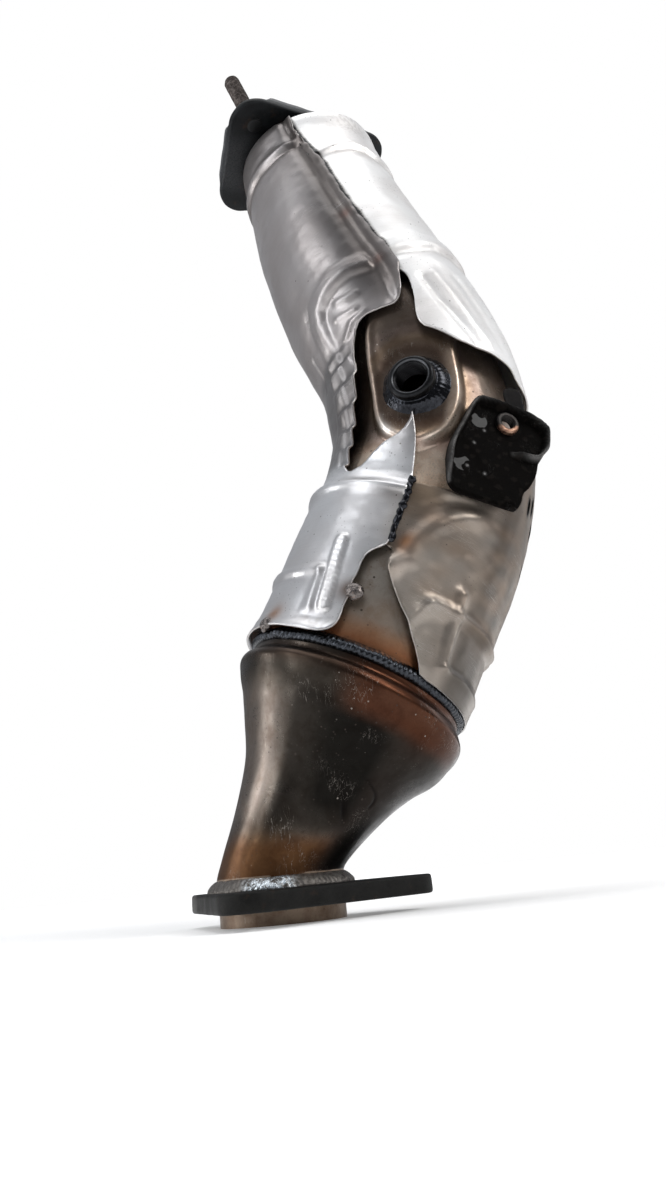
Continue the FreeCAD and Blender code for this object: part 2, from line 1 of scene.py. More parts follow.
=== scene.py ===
import math
import bpy
import numpy as np
from mathutils import Vector, Matrix
from mathutils.geometry import delaunay_2d_cdt


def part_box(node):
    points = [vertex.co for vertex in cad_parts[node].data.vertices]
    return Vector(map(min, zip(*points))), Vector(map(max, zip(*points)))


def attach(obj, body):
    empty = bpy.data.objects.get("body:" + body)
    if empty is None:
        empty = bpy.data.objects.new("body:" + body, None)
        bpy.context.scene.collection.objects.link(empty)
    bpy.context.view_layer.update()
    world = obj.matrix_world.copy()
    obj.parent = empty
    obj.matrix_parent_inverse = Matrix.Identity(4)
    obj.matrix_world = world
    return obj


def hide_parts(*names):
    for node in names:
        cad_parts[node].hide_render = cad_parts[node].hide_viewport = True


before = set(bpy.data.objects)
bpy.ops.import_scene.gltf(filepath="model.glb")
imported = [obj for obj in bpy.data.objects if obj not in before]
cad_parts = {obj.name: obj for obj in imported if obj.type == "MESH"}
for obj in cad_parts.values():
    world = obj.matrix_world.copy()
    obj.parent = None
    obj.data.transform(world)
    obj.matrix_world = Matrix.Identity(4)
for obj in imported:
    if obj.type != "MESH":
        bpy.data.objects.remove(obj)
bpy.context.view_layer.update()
scene = bpy.context.scene
MM = 0.001


def A(*v):
    return np.array(v, float)


def unit(v):
    v = np.array(v, float)
    return v / np.linalg.norm(v)


# ---------------------------------------------------------------- shapes, in mm
ENV = np.array([(48.1, 76.9, 452.6, 42.5), (51.9, 72.6, 428.7, 44.5), (63.1, 57.0, 376.7, 50), (77.7, 45.2, 329.6, 53.5),
                (94.2, 33.6, 283.8, 54.0), (99.1, 24.6, 244.3, 55.5), (95.0, 22.0, 209.9, 57), (83.2, 20.0, 177.1, 58.5),
                (62.8, 12.7, 136.5, 58), (45.1, 6.9, 102.8, 59)], float)
DL = unit((0.4535, 0.1531, 0.8776)); PL = A(43.6, 6.3, 100.0)
DU = unit((-0.24, 0.25, 0.938)); PU = A(76.5, 45.5, 330.0)
FN = unit((-0.2665, 0.3070, 0.9137)); FC = A(42.08, 77.91, 457.11)
FX = A(0.9638, 0.0849, 0.2526); FX = unit(FX - FN * (FX @ FN)); FY = np.cross(FN, FX)
BD = unit((-0.315, -0.937, 0.156)); BC = A(86.2, -29.8, 251.2)
KN = unit((0.3811, -0.9025, 0.2006)); KX = A(0.9212, 0.3890, 0.0); KX = unit(KX - KN * (KX @ KN)); KY = np.cross(KN, KX)
KO = A(116.54, -28.58, 208.40)


def catmull(P, n=12):
    P = np.array(P, float)
    out = []
    Q = np.vstack([2 * P[0] - P[1], P, 2 * P[-1] - P[-2]])
    for i in range(1, len(Q) - 2):
        for t in np.linspace(0, 1, n, endpoint=False):
            p0, p1, p2, p3 = Q[i - 1:i + 3]
            out.append(0.5 * ((2 * p1) + (-p0 + p2) * t + (2 * p0 - 5 * p1 + 4 * p2 - p3) * t * t
                              + (-p0 + 3 * p1 - 3 * p2 + p3) * t ** 3))
    out.append(P[-1])
    return np.array(out)


class Spine:
    """A centre line with a radius; a point is given by arc length s, angle phi (deg) and an offset outwards."""

    def __init__(self, rows, n=24, front=(0, -1, 0)):
        S = catmull(rows, n)
        self.C = S[:, :3]; self.R = S[:, 3]
        T = np.gradient(self.C, axis=0); T /= np.linalg.norm(T, axis=1)[:, None]
        self.T = T
        self.S = np.r_[0, np.cumsum(np.linalg.norm(np.diff(self.C, axis=0), axis=1))]
        f = np.array(front, float)
        U = f - (T @ f)[:, None] * T
        self.U = U / np.linalg.norm(U, axis=1)[:, None]
        self.V = np.cross(self.T, self.U)

    def at(self, table, s):
        return np.stack([np.interp(s, self.S, table[:, k]) for k in range(3)], -1)

    def radius(self, s):
        return np.interp(s, self.S, self.R)

    def point(self, s, phi, off=0.0):
        s = np.asarray(s, float); ph = np.radians(phi)
        r = self.radius(s) + off
        u = self.at(self.U, s); v = self.at(self.V, s)
        n = np.cos(ph)[..., None] * u + np.sin(ph)[..., None] * v
        n /= np.linalg.norm(n, axis=-1, keepdims=True)
        over = np.where(s < 0, s, np.where(s > self.S[-1], s - self.S[-1], 0.0))
        return self.at(self.C, s) + over[..., None] * self.at(self.T, s) + r[..., None] * n


SKIN = Spine(ENV)
DEG = 55.0 * math.pi / 180.0   # mm per degree used for the flat pattern


# ---------------------------------------------------------------- small tools
def smooth(x):
    x = np.clip(x, 0, 1)
    return x * x * (3 - 2 * x)


def line_dist(P, L):
    """Distance of points P (n,2) to polyline L, with the side and the place along it (0..1)."""
    P = np.asarray(P, float); L = np.asarray(L, float)
    best = np.full(len(P), 1e9); side = np.ones(len(P)); along = np.zeros(len(P))
    seg = np.linalg.norm(np.diff(L, axis=0), axis=1); tot = seg.sum(); acc = 0.0
    for k in range(len(L) - 1):
        a, b = L[k], L[k + 1]
        d = b - a; ln = max(np.linalg.norm(d), 1e-9)
        t = np.clip(((P - a) @ d) / ln ** 2, 0, 1)
        q = a + t[:, None] * d
        dist = np.linalg.norm(P - q, axis=1)
        cr = d[0] * (P[:, 1] - a[1]) - d[1] * (P[:, 0] - a[0])
        m = dist < best
        best[m] = dist[m]; side[m] = np.sign(cr[m]); along[m] = (acc + t[m] * seg[k]) / tot
        acc += seg[k]
    return best, side, along


def ridge(P, L, w, h, ends=3.0):
    d, _, al = line_dist(P, L)
    return h * np.exp(-(d / w) ** 2)


def plateau(P, L, half, edge, h):
    d, _, _ = line_dist(P, L)
    return h * (1 - smooth((d - half) / edge))


def waves(P, scale, seed, n=7):
    """Smooth deterministic unevenness, about -1..1."""
    rng = np.random.RandomState(seed)
    out = np.zeros(len(P))
    for _ in range(n):
        a = rng.uniform(0, math.pi); f = rng.uniform(0.6, 1.6) / scale; p = rng.uniform(0, 6.28)
        out += np.sin(2 * math.pi * f * (P[:, 0] * math.cos(a) + P[:, 1] * math.sin(a)) + p)
    return out / n * 1.6


def waves3(P, scale, seed, n=9):
    rng = np.random.RandomState(seed)
    out = np.zeros(len(P))
    for _ in range(n):
        d = rng.normal(size=3); d /= np.linalg.norm(d)
        f = rng.uniform(0.6, 1.6) / scale; p = rng.uniform(0, 6.28)
        out += np.sin(2 * math.pi * f * (P @ d) + p)
    return out / n * 1.6


def resample(L, step, closed=True):
    L = [np.array(p, float) for p in L]
    if closed:
        L = L + [L[0]]
    out = []
    for a, b in zip(L[:-1], L[1:]):
        n = max(1, int(round(np.linalg.norm(b - a) / step)))
        for k in range(n):
            out.append(a + (b - a) * k / n)
    if not closed:
        out.append(L[-1])
    return np.array(out)


def soften(L, times=1, closed=False, keep=()):
    """Chaikin corner cutting on an open list of points, its ends and any kept points staying."""
    L = [np.array(p, float) for p in L]
    keep = {tuple(np.round(k, 3)) for k in keep}
    for _ in range(times):
        out = [L[0]]
        for a, b in zip(L[:-1], L[1:]):
            ka = tuple(np.round(a, 3)) in keep; kb = tuple(np.round(b, 3)) in keep
            if not ka:
                out.append(a * 0.75 + b * 0.25)
            else:
                out.append(a)
            if not kb:
                out.append(a * 0.25 + b * 0.75)
        out.append(L[-1])
        L = out
    return L


def flat_mesh(outline, step, coarse=None, holes=()):
    """Triangles inside an outline (n,2), points on a staggered lattice. coarse(p) gives a mask of points to thin out."""
    rim = [tuple(p) for p in outline]
    lo = np.min(outline, 0); hi = np.max(outline, 0)
    xs = np.arange(lo[0], hi[0], step * 0.866); pts = []
    for i, x in enumerate(xs):
        ys = np.arange(lo[1] + (step / 2 if i % 2 else 0), hi[1], step)
        pts.append(np.stack([np.full(len(ys), x), ys], 1))
    pts = np.vstack(pts)
    idx = np.stack([np.round((pts[:, 0] - lo[0]) / (step * 0.866)), np.round((pts[:, 1] - lo[1]) / (step / 2))], 1).astype(int)
    if coarse is not None:
        m = coarse(pts)
        keep = (~m) | ((idx[:, 0] % 3 == 0) & (((idx[:, 1] + (idx[:, 0] // 3 % 2) * 3) % 6) == 0))
        pts = pts[keep]
    loops = [np.array(outline)] + [np.array(h) for h in holes]
    d = np.full(len(pts), 1e9)
    for lp in loops:
        dd, _, _ = line_dist(pts, np.vstack([lp, lp[:1]]))
        d = np.minimum(d, dd)
    inside = in_poly(pts, loops[0])
    for lp in loops[1:]:
        inside &= ~in_poly(pts, lp)
    pts = pts[inside & (d > step * 0.45)]
    verts = [Vector(p) for p in rim]; faces = [list(range(len(rim)))]
    for lp in loops[1:]:
        k = len(verts)
        verts += [Vector(p) for p in lp]
        faces.append(list(range(k, k + len(lp))))
    verts += [Vector(p) for p in pts]
    edges = []
    res = delaunay_2d_cdt(verts, edges, faces, 1, 1e-6)
    co = np.array([tuple(v) for v in res[0]], float)
    tri = [tuple(f) for f in res[2]]
    if holes:
        cen = np.array([co[list(f)].mean(0) for f in tri])
        bad = np.zeros(len(tri), bool)
        for lp in loops[1:]:
            bad |= in_poly(cen, lp)
        tri = [f for f, b in zip(tri, bad) if not b]
        used = sorted({i for f in tri for i in f}); ren = {o: n for n, o in enumerate(used)}
        co = co[used]; tri = [tuple(ren[i] for i in f) for f in tri]
    return co, tri


def in_poly(P, L):
    x, y = P[:, 0], P[:, 1]
    c = np.zeros(len(P), bool)
    L = np.asarray(L); n = len(L)
    for i in range(n):
        x1, y1 = L[i]; x2, y2 = L[(i + 1) % n]
        cond = ((y1 > y) != (y2 > y))
        if abs(y2 - y1) > 1e-12:
            c ^= cond & (x < (x2 - x1) * (y - y1) / (y2 - y1) + x1)
    return c


def make(name, verts, faces, slot=None, replaces=(), mats=(), smooth_on=True, sharp=None, attrs=None):
    """A mesh object from points in mm, riding on the part's body."""
    me = bpy.data.meshes.new(name)
    me.from_pydata([tuple(float(c) * MM for c in v) for v in verts], [], [tuple(int(i) for i in f) for f in faces])
    me.update()
    ob = bpy.data.objects.new(name, me)
    scene.collection.objects.link(ob)
    if smooth_on:
        me.polygons.foreach_set("use_smooth", [True] * len(me.polygons))
    if sharp is not None:
        me.set_sharp_from_angle(angle=math.radians(sharp))
    for k, v in (attrs or {}).items():
        v = np.asarray(v, np.float32)
        if v.ndim == 1:
            at = me.attributes.new(k, "FLOAT", "POINT"); at.data.foreach_set("value", v)
        elif v.shape[1] == 3:
            at = me.attributes.new(k, "FLOAT_VECTOR", "POINT"); at.data.foreach_set("vector", v.ravel())
        else:
            at = me.attributes.new(k, "FLOAT_COLOR", "POINT"); at.data.foreach_set("color", v.ravel())
    for m in mats:
        me.materials.append(m)
    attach(ob, "root")
    if replaces:
        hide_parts(*replaces)
    return ob


def thicken(ob, t, offset=-1.0, rim_mat=None):
    md = ob.modifiers.new("sheet", "SOLIDIFY")
    md.thickness = t * MM
    md.offset = offset
    md.use_even_offset = True
    md.use_quality_normals = True
    if rim_mat is not None:
        md.material_offset_rim = rim_mat
    apply(ob)
    return ob


def paired(out, inn, tri):
    """Outer and inner skins over one triangulation, joined round every free edge."""
    n = len(out)
    edge = {(a, b) for t in tri for a, b in ((t[0], t[1]), (t[1], t[2]), (t[2], t[0]))}
    F = [tuple(t) for t in tri] + [tuple(n + i for i in t[::-1]) for t in tri]
    F += [(b, a, n + a, n + b) for a, b in edge if (b, a) not in edge]
    return np.vstack([out, inn]), F


def apply(ob):
    dg = bpy.context.evaluated_depsgraph_get()
    dg.update()
    me = bpy.data.meshes.new_from_object(ob.evaluated_get(dg), preserve_all_data_layers=True, depsgraph=dg)
    old = ob.data
    ob.modifiers.clear()
    ob.data = me
    me.name = old.name
    bpy.data.meshes.remove(old)


def grid(nu, nv, close_u=False, close_v=False):
    f = []
    for i in range(nu if close_u else nu - 1):
        for j in range(nv if close_v else nv - 1):
            a = i * nv + j; b = i * nv + (j + 1) % nv
            c = ((i + 1) % nu) * nv + (j + 1) % nv; d = ((i + 1) % nu) * nv + j
            f.append((a, b, c, d))
    return f


def basis(d):
    d = unit(d)
    a = A(0, 0, 1) if abs(d[2]) < 0.9 else A(1, 0, 0)
    x = unit(a - d * (a @ d))
    return x, np.cross(d, x), d


def turned(name, origin, axis, prof, n=96, closed=True, bump=None, xdir=None, **kw):
    """A body of revolution; prof is a list of (radius, height); bump(theta, r, h) returns (dr, dh)."""
    x, y, z = basis(axis)
    if xdir is not None:
        x = unit(np.array(xdir) - z * (np.array(xdir) @ z)); y = np.cross(z, x)
    P = np.array(prof, float); m = len(P)
    th = np.arange(n) / n * 2 * math.pi
    TH, R = np.meshgrid(th, P[:, 0], indexing="ij"); _, H = np.meshgrid(th, P[:, 1], indexing="ij")
    if bump is not None:
        dr, dh = bump(TH, R, H); R = R + dr; H = H + dh
    V = (np.array(origin) + (R * np.cos(TH))[..., None] * x + (R * np.sin(TH))[..., None] * y + H[..., None] * z)
    f = grid(n, m, True, closed)
    return make(name, V.reshape(-1, 3), [q[::-1] for q in f], **kw)


def fine(prof, step):
    """Adds points along a profile's runs."""
    return [tuple(p) for p in resample(prof, step, closed=True)]


def tube_along(name, path, radii, n=16, up=None, flat=1.0, caps=True, bump=None, **kw):
    """A tube on a path (mm) with radii; up(i) keeps its section square to a surface; flat squashes it along up."""
    P = np.array(path, float); m = len(P)
    r = np.full(m, radii, float) if np.isscalar(radii) else np.array(radii, float)
    T = np.gradient(P, axis=0); T /= np.linalg.norm(T, axis=1)[:, None]
    th = np.arange(n) / n * 2 * math.pi
    V = []
    prev = None
    for i in range(m):
        if up is not None:
            u = np.array(up[i] if hasattr(up, "__len__") and not isinstance(up, np.ndarray) or getattr(up, "ndim", 1) > 1 else up, float)
        else:
            u = prev if prev is not None else basis(T[i])[0]
        u = unit(u - T[i] * (u @ T[i])); prev = u
        w = np.cross(T[i], u)
        rr = np.full(n, r[i])
        if bump is not None:
            rr = rr + bump(i, th)
        V.append(P[i] + (rr * np.cos(th) * flat)[:, None] * u + (rr * np.sin(th))[:, None] * w)
    V = np.array(V).reshape(-1, 3)
    F = grid(m, n, False, True)
    if caps:
        k = len(V)
        V = np.vstack([V, P[0] - T[0] * r[0] * 0.5, P[-1] + T[-1] * r[-1] * 0.5])
        F += [(j, k, (j + 1) % n) for j in range(n)]
        o = (m - 1) * n
        F += [(o + (j + 1) % n, k + 1, o + j) for j in range(n)]
    return make(name, V, F, **kw)




# ---------------------------------------------------------------- materials
class Mat:
    """Small helper for node materials."""

    def __init__(self, name):
        self.m = bpy.data.materials.new(name)
        self.m.use_nodes = True
        self.t = self.m.node_tree
        self.b = self.t.nodes["Principled BSDF"]
        self.x = -300
        co = self.t.nodes.new("ShaderNodeTexCoord")
        self.pos = self.math_vec("SCALE", co.outputs["Object"], None, 1000.0)   # object space in mm

    def link(self, a, b):
        self.t.links.new(a, b)

    def node(self, kind):
        n = self.t.nodes.new(kind)
        self.x -= 40
        n.location = (self.x, (self.x * 37) % 600)
        return n

    def put(self, sock, v):
        if v is None:
            return
        if hasattr(v, "links"):
            self.link(v, sock)
        else:
            if sock.type == "RGBA" and len(v) == 3:
                v = (*v, 1.0)
            sock.default_value = v

    def math_vec(self, op, a, b=None, scale=None):
        n = self.node("ShaderNodeVectorMath"); n.operation = op
        self.put(n.inputs[0], a)
        if b is not None:
            self.put(n.inputs[1], b)
        if scale is not None:
            self.put(n.inputs["Scale"], scale)
        return n.outputs["Value"] if op in ("DOT_PRODUCT", "LENGTH", "DISTANCE") else n.outputs["Vector"]

    def math(self, op, a, b=0.0, c=None, clamp=False):
        n = self.node("ShaderNodeMath"); n.operation = op; n.use_clamp = clamp
        self.put(n.inputs[0], a); self.put(n.inputs[1], b)
        if c is not None:
            self.put(n.inputs[2], c)
        return n.outputs[0]

    def ramp(self, fac, stops, mode="LINEAR"):
        n = self.node("ShaderNodeValToRGB"); r = n.color_ramp; r.interpolation = mode
        while len(r.elements) > 1:
            r.elements.remove(r.elements[-1])
        for k, (p, c) in enumerate(stops):
            e = r.elements[0] if k == 0 else r.elements.new(p)
            e.position = p
            e.color = (*c, 1.0) if len(c) == 3 else c
        self.put(n.inputs[0], fac)
        return n.outputs[0]

    def mask(self, fac, lo, hi):
        n = self.node("ShaderNodeMapRange"); n.interpolation_type = "SMOOTHSTEP"
        self.put(n.inputs[0], fac)
        n.inputs[1].default_value = lo; n.inputs[2].default_value = hi
        return n.outputs[0]

    def mix(self, fac, a, b, kind="MIX"):
        n = self.node("ShaderNodeMix"); n.data_type = "RGBA"; n.blend_type = kind
        self.put(n.inputs[0], fac); self.put(n.inputs[6], a); self.put(n.inputs[7], b)
        return n.outputs[2]

    def noise(self, vec, scale, detail=4.0, rough=0.55, dist=0.0):
        n = self.node("ShaderNodeTexNoise")
        self.put(n.inputs["Vector"], vec)
        n.inputs["Scale"].default_value = scale; n.inputs["Detail"].default_value = detail
        n.inputs["Roughness"].default_value = rough; n.inputs["Distortion"].default_value = dist
        return n.outputs[0]

    def cells(self, vec, scale, feature="F1", rand=1.0):
        n = self.node("ShaderNodeTexVoronoi"); n.feature = feature
        self.put(n.inputs["Vector"], vec)
        n.inputs["Scale"].default_value = scale
        n.inputs["Randomness"].default_value = rand
        return n.outputs["Distance"]

    def attr(self, name, out="Fac"):
        n = self.node("ShaderNodeAttribute"); n.attribute_name = name
        return n.outputs[out]

    def stretch(self, vec, k):
        return self.math_vec("MULTIPLY", vec, k)

    def bump(self, height, strength=0.3, dist=0.1, normal=None):
        n = self.node("ShaderNodeBump")
        n.inputs["Strength"].default_value = strength
        n.inputs["Distance"].default_value = dist * MM
        self.put(n.inputs["Height"], height)
        if normal is not None:
            self.link(normal, n.inputs["Normal"])
        return n.outputs[0]

    def out(self, color=None, rough=None, metal=None, normal=None, **named):
        self.put(self.b.inputs["Base Color"], color)
        self.put(self.b.inputs["Roughness"], rough)
        self.put(self.b.inputs["Metallic"], metal)
        if normal is not None:
            self.link(normal, self.b.inputs["Normal"])
        for k, v in named.items():
            self.b.inputs[k.replace("_", " ")].default_value = v
        return self.m


def steel_sheet(name):
    """Bare rolled sheet: colour from the surface, rolling streaks, pits, scuffs and scratches."""
    m = Mat(name)
    sv = m.attr("flat", "Vector")            # arc length, arc width, 0 in mm
    tint = m.attr("tint", "Color")
    g = m.noise(m.pos, 0.035, 3, 0.5)
    streak = m.noise(m.stretch(sv, (0.9, 0.05, 1.0)), 1.0, 3, 0.6)
    grain = m.noise(m.pos, 1.6, 4, 0.7)
    col = m.mix(m.mask(g, 0.35, 0.7), tint, m.mix(1.0, tint, (0.88, 0.86, 0.85), "MULTIPLY"))
    col = m.mix(m.math("MULTIPLY", m.mask(streak, 0.45, 0.8), 0.25), col, m.mix(1.0, col, (0.8, 0.78, 0.78), "MULTIPLY"))
    col = m.mix(m.math("MULTIPLY", m.mask(grain, 0.5, 0.8), 0.35), col, m.mix(1.0, col, (0.72, 0.7, 0.69), "MULTIPLY"))
    # small dark pits and a few dirty specks, gathered in patches
    patch = m.mask(m.noise(m.pos, 0.05, 2, 0.5), 0.45, 0.7)
    pit = m.math("LESS_THAN", m.cells(m.pos, 0.42), 0.14)
    pit = m.math("MULTIPLY", pit, patch)
    speck = m.math("LESS_THAN", m.cells(m.pos, 0.13), 0.055)
    dark = m.math("MAXIMUM", m.math("MULTIPLY", pit, 0.55), m.math("MULTIPLY", speck, 0.8))
    col = m.mix(dark, col, (0.10, 0.085, 0.075))
    # scratches: thin stretched noise lines in two directions
    sc1 = m.noise(m.stretch(sv, (1.9, 0.035, 1.0)), 1.0, 2, 0.5, 0.6)
    l1 = m.math("SUBTRACT", 1.0, m.math("MULTIPLY", m.math("ABSOLUTE", m.math("SUBTRACT", sc1, 0.5)), 90.0), clamp=True)
    sel = m.mask(m.noise(m.stretch(sv, (0.06, 0.03, 1.0)), 1.0, 2, 0.5), 0.52, 0.66)
    l1 = m.math("MULTIPLY", l1, sel)
    col = m.mix(m.math("MULTIPLY", l1, 0.35), col, (0.75, 0.74, 0.74))
    r = m.math("ADD", m.attr("rough"), m.math("MULTIPLY", m.math("SUBTRACT", grain, 0.5), 0.16))
    r = m.math("ADD", r, m.math("MULTIPLY", m.math("SUBTRACT", streak, 0.5), 0.12))
    r = m.math("ADD", r, m.math("MULTIPLY", dark, 0.25), clamp=True)
    h = m.math("ADD", m.math("MULTIPLY", grain, 0.35), m.math("MULTIPLY", streak, 0.5))
    h = m.math("SUBTRACT", h, m.math("MULTIPLY", dark, 0.8))
    h = m.math("SUBTRACT", h, m.math("MULTIPLY", l1, 0.5))
    n = m.bump(h, 0.35, 0.12)
    big = m.noise(m.pos, 0.09, 2, 0.5)
    n2 = m.bump(big, 0.5, 0.5, n)
    return m.out(col, r, m.attr("metal"), n2)


def edge_sheet(name, col=(0.62, 0.60, 0.585), dark=()):
    m = Mat(name)
    g = m.noise(m.pos, 0.7, 3, 0.6)
    c = m.ramp(g, [(0.3, tuple(k * 0.72 for k in col)), (0.7, col)])
    for q in dark:                       # the walls of a punched slot are painted near black: painted shade inside the slot
        r = m.math_vec("LENGTH", m.math_vec("SUBTRACT", m.pos, tuple(q)))
        c = m.mix(m.math("SUBTRACT", 1.0, m.mask(r, 5.0, 6.0)), c, (0.004, 0.004, 0.004))
    return m.out(c, m.math("ADD", 0.28, m.math("MULTIPLY", g, 0.2)), 0.9, m.bump(g, 0.3, 0.1))


# ---------------------------------------------------------------- heat shields
SEAM = [(0, 11.6), (30, 4.2), (56.4, -2.6), (70.1, -3.7), (112.1, -7.8), (133, -10), (144.2, -10)]
WINDOW = [(149.0, -10.4), (152.0, -10.4), (154.6, -8.9), (161.0, -5.6), (167.7, -2.6), (172.4, 0.7), (174.4, 4.3),
          (174.2, 10.0), (172.6, 17.1), (171.4, 24.0), (173.4, 31.0), (182.7, 37.8), (190.5, 40.9), (203.3, 43.5),
          (214.9, 47.3), (225.2, 50.9), (237.6, 53.0), (249.3, 53.5), (267.4, 53.6), (272.0, 52.0), (276.0, 46.8),
          (273.7, 43.7), (270.4, 39.9), (260.0, 34.1), (250.0, 19.6), (243.5, 15.3)]
SPIKE = [(239.2, 13.8)]
CHAIN = [(250.5, 11.9), (265.2, 10.6), (279.0, 8.9), (280.5, 9.1), (293.6, 9.5), (305.8, 9.6), (314.9, 9.6), (322.1, 8.5)]
LOWL = [(322.7, 8.8), (325.2, 9.4), (330.2, 15.4), (334.4, 17.2), (341.6, 16.7), (347.3, 17.4), (351.8, 15.6),
        (359.2, 16.5), (364.4, 15.8), (370.5, 16.6), (374.2, 19.4), (376.1, 24.3), (376.1, 36.5), (375.4, 51.1),
        (376.1, 58.3), (376.1, 80.6), (376.1, 100.0), (376.1, 176.0), (372.0, 180.0)]


def flat(L):
    return np.array([(s, p * DEG) for s, p in L], float)


def seam_phi(s):
    return np.interp(s, [p[0] for p in SEAM], [p[1] for p in SEAM])


ROOT = [(0.0, 15.6), (4.2, 14.7), (31.8, 10.0), (69.6, 4.6), (99.0, 1.6), (126.6, 0.4), (139.0, -1.4), (150.2, -2.0),
        (160.0, -0.5), (172.0, 3.6)]
POCKET = [(138.5, 5.2), (135.2, 16.1), (135.1, 29.5), (137.6, 39.8), (142.1, 48.8), (150.0, 54.4), (165, 57.5), (182, 60),
          (200, 63), (222, 66), (237, 68), (252, 70), (272, 71)]
BAR = [(327.0, 31.6), (337.6, 30.2), (351.3, 27.4), (362.5, 25.7)]


def left_relief(P, back):
    """Height of the left shield's pressed features over its smooth skin."""
    s = P[:, 0]; ph = P[:, 1] / DEG
    d = np.zeros(len(P))
    # collar and first bead below the rim
    d += 0.5 * (1 - smooth((s - 27) / 5)) + 1.3 * np.exp(-((s - 24.5) / 3.2) ** 2) - 0.7 * np.exp(-((s - 30.5) / 2.2) ** 2)
    d -= 0.5 * (1 - smooth(s / 4.0))
    # seam flange: a valley, then a step up to a flat strip
    rd, side, _ = line_dist(P, flat(ROOT))
    inner = rd * side        # >0 on the body side
    live = 1 - smooth((s - 168) / 8)
    if inner[np.argmax(ph)] < 0:
        inner = -inner
    d += live * 0.9 * (1 - smooth((inner + 5.0) / 4.0))
    d += live * (0.75 * (1 - smooth((inner + 1.4) / 1.8)) - 1.15 * np.exp(-((inner - 3.6) / 3.0) ** 2))
    # broad second bead turning down into the pocket's rim
    pd, pside, al = line_dist(P, flat(POCKET))
    below = pd * pside
    if below[np.argmin(np.abs(s - 155) + np.abs(ph - 25))] < 0:
        below = -below
    fade = smooth((ph - 1.0) / 4.0) * (1 - smooth((s - 266) / 12))
    bead = np.exp(-((below - 4.2) / 4.0) ** 2) * (1 - smooth((al - 0.32) / 0.18) * 0.75)
    rimline = 0.55 * np.exp(-((below + 0.6) / 2.2) ** 2)
    d += fade * (1.9 * bead + rimline - 0.9 * smooth((below - 7.5) / 3.5) * (1 - smooth((below - 40) / 20)))
    # folds of the gathered strip beside the window
    strip = smooth((ph - 41) / 4) * (1 - smooth((ph - 60.5) / 7)) * smooth((s - 176) / 8) * (1 - smooth((s - 268) / 8))
    k = (s - 188.5 - (ph - 47) * 0.16) / 15.4
    saw = k - np.floor(k)
    fold = np.where(saw < 0.22, smooth(saw / 0.22), 1 - smooth((saw - 0.22) / 0.78))
    d += strip * (1.9 * fold - 0.6)
    # two short creases under the second bead
    for c in ([(155.0, 20.0), (153.4, 27.0), (151.6, 33.0)], [(163.6, 26.0), (162.4, 31.0), (160.0, 38.0)],
              [(168.5, 22.0), (169.0, 32.0), (176.0, 41.0)]):
        d += ridge(P, flat(c), 2.0, 0.9)
    # fine crease on the flank
    d -= ridge(P, flat([(160, 71), (175, 72), (192, 75)]), 1.6, 0.7)
    # shoulder where the lower half widens
    d += -1.9 * (1 - smooth((s - 274) / 13)) * smooth((s - 205) / 30) * smooth((ph - 4) / 6) + 1.3 * np.exp(-((s - 288.5) / 3.6) ** 2) \
        + 0.7 * smooth((s - 280) / 10)
    d -= 0.35 * np.exp(-((s - 298) / 4.5) ** 2)
    # cross rib, upright rib and the bare raised bar
    cross = [(343.6, 36.5), (344.0, 43.0), (345.0, 53.0), (344.0, 72.0), (344.0, 120.0)]
    d += ridge(P, flat(cross), 2.6, 1.35)
    d += ridge(P, flat([(343.8, 36.0), (350.0, 35.2), (357.5, 34.2), (364.0, 33.0)]), 2.2, 1.1)
    d -= 0.5 * smooth((s - 346) / 3) * smooth((ph - 36) / 3) * (1 - smooth((s - 366) / 4))
    d += plateau(P, flat(BAR), 2.5, 0.9, 1.15)
    d += 0.15 * plateau(P, flat(BAR), 2.0, 0.8, 1.0) * np.sin(s * 2.3)
    # foot: the sheet turns in over a shallow dip, then flares at its rim
    d -= 0.9 * np.exp(-((s - 368) / 4.0) ** 2) * (1 - smooth((ph - 30) / 12))
    d += 0.8 * smooth((s - 371) / 5)
    # the free spike stands off a little
    d += 1.6 * np.exp(-((s - 239) / 12.0) ** 2) * np.exp(-((ph - 13.8) / 9.0) ** 2)
    # dent on the flank above the window, and the unevenness of thin sheet
    d -= 1.2 * np.exp(-((s - 176) / 16) ** 2 - ((ph - 78) / 10) ** 2)
    d += 0.22 * waves(P, 34, 11) + 0.10 * waves(P, 11, 12)
    return d


def col(c, n):
    return np.tile(np.array(c, float), (n, 1))


def blend(base, c, w):
    return base * (1 - w[:, None]) + np.array(c, float) * w[:, None]


def spot(s, ph, s0, p0, rs, rp):
    return np.exp(-((s - s0) / rs) ** 2 - ((ph - p0) / rp) ** 2)


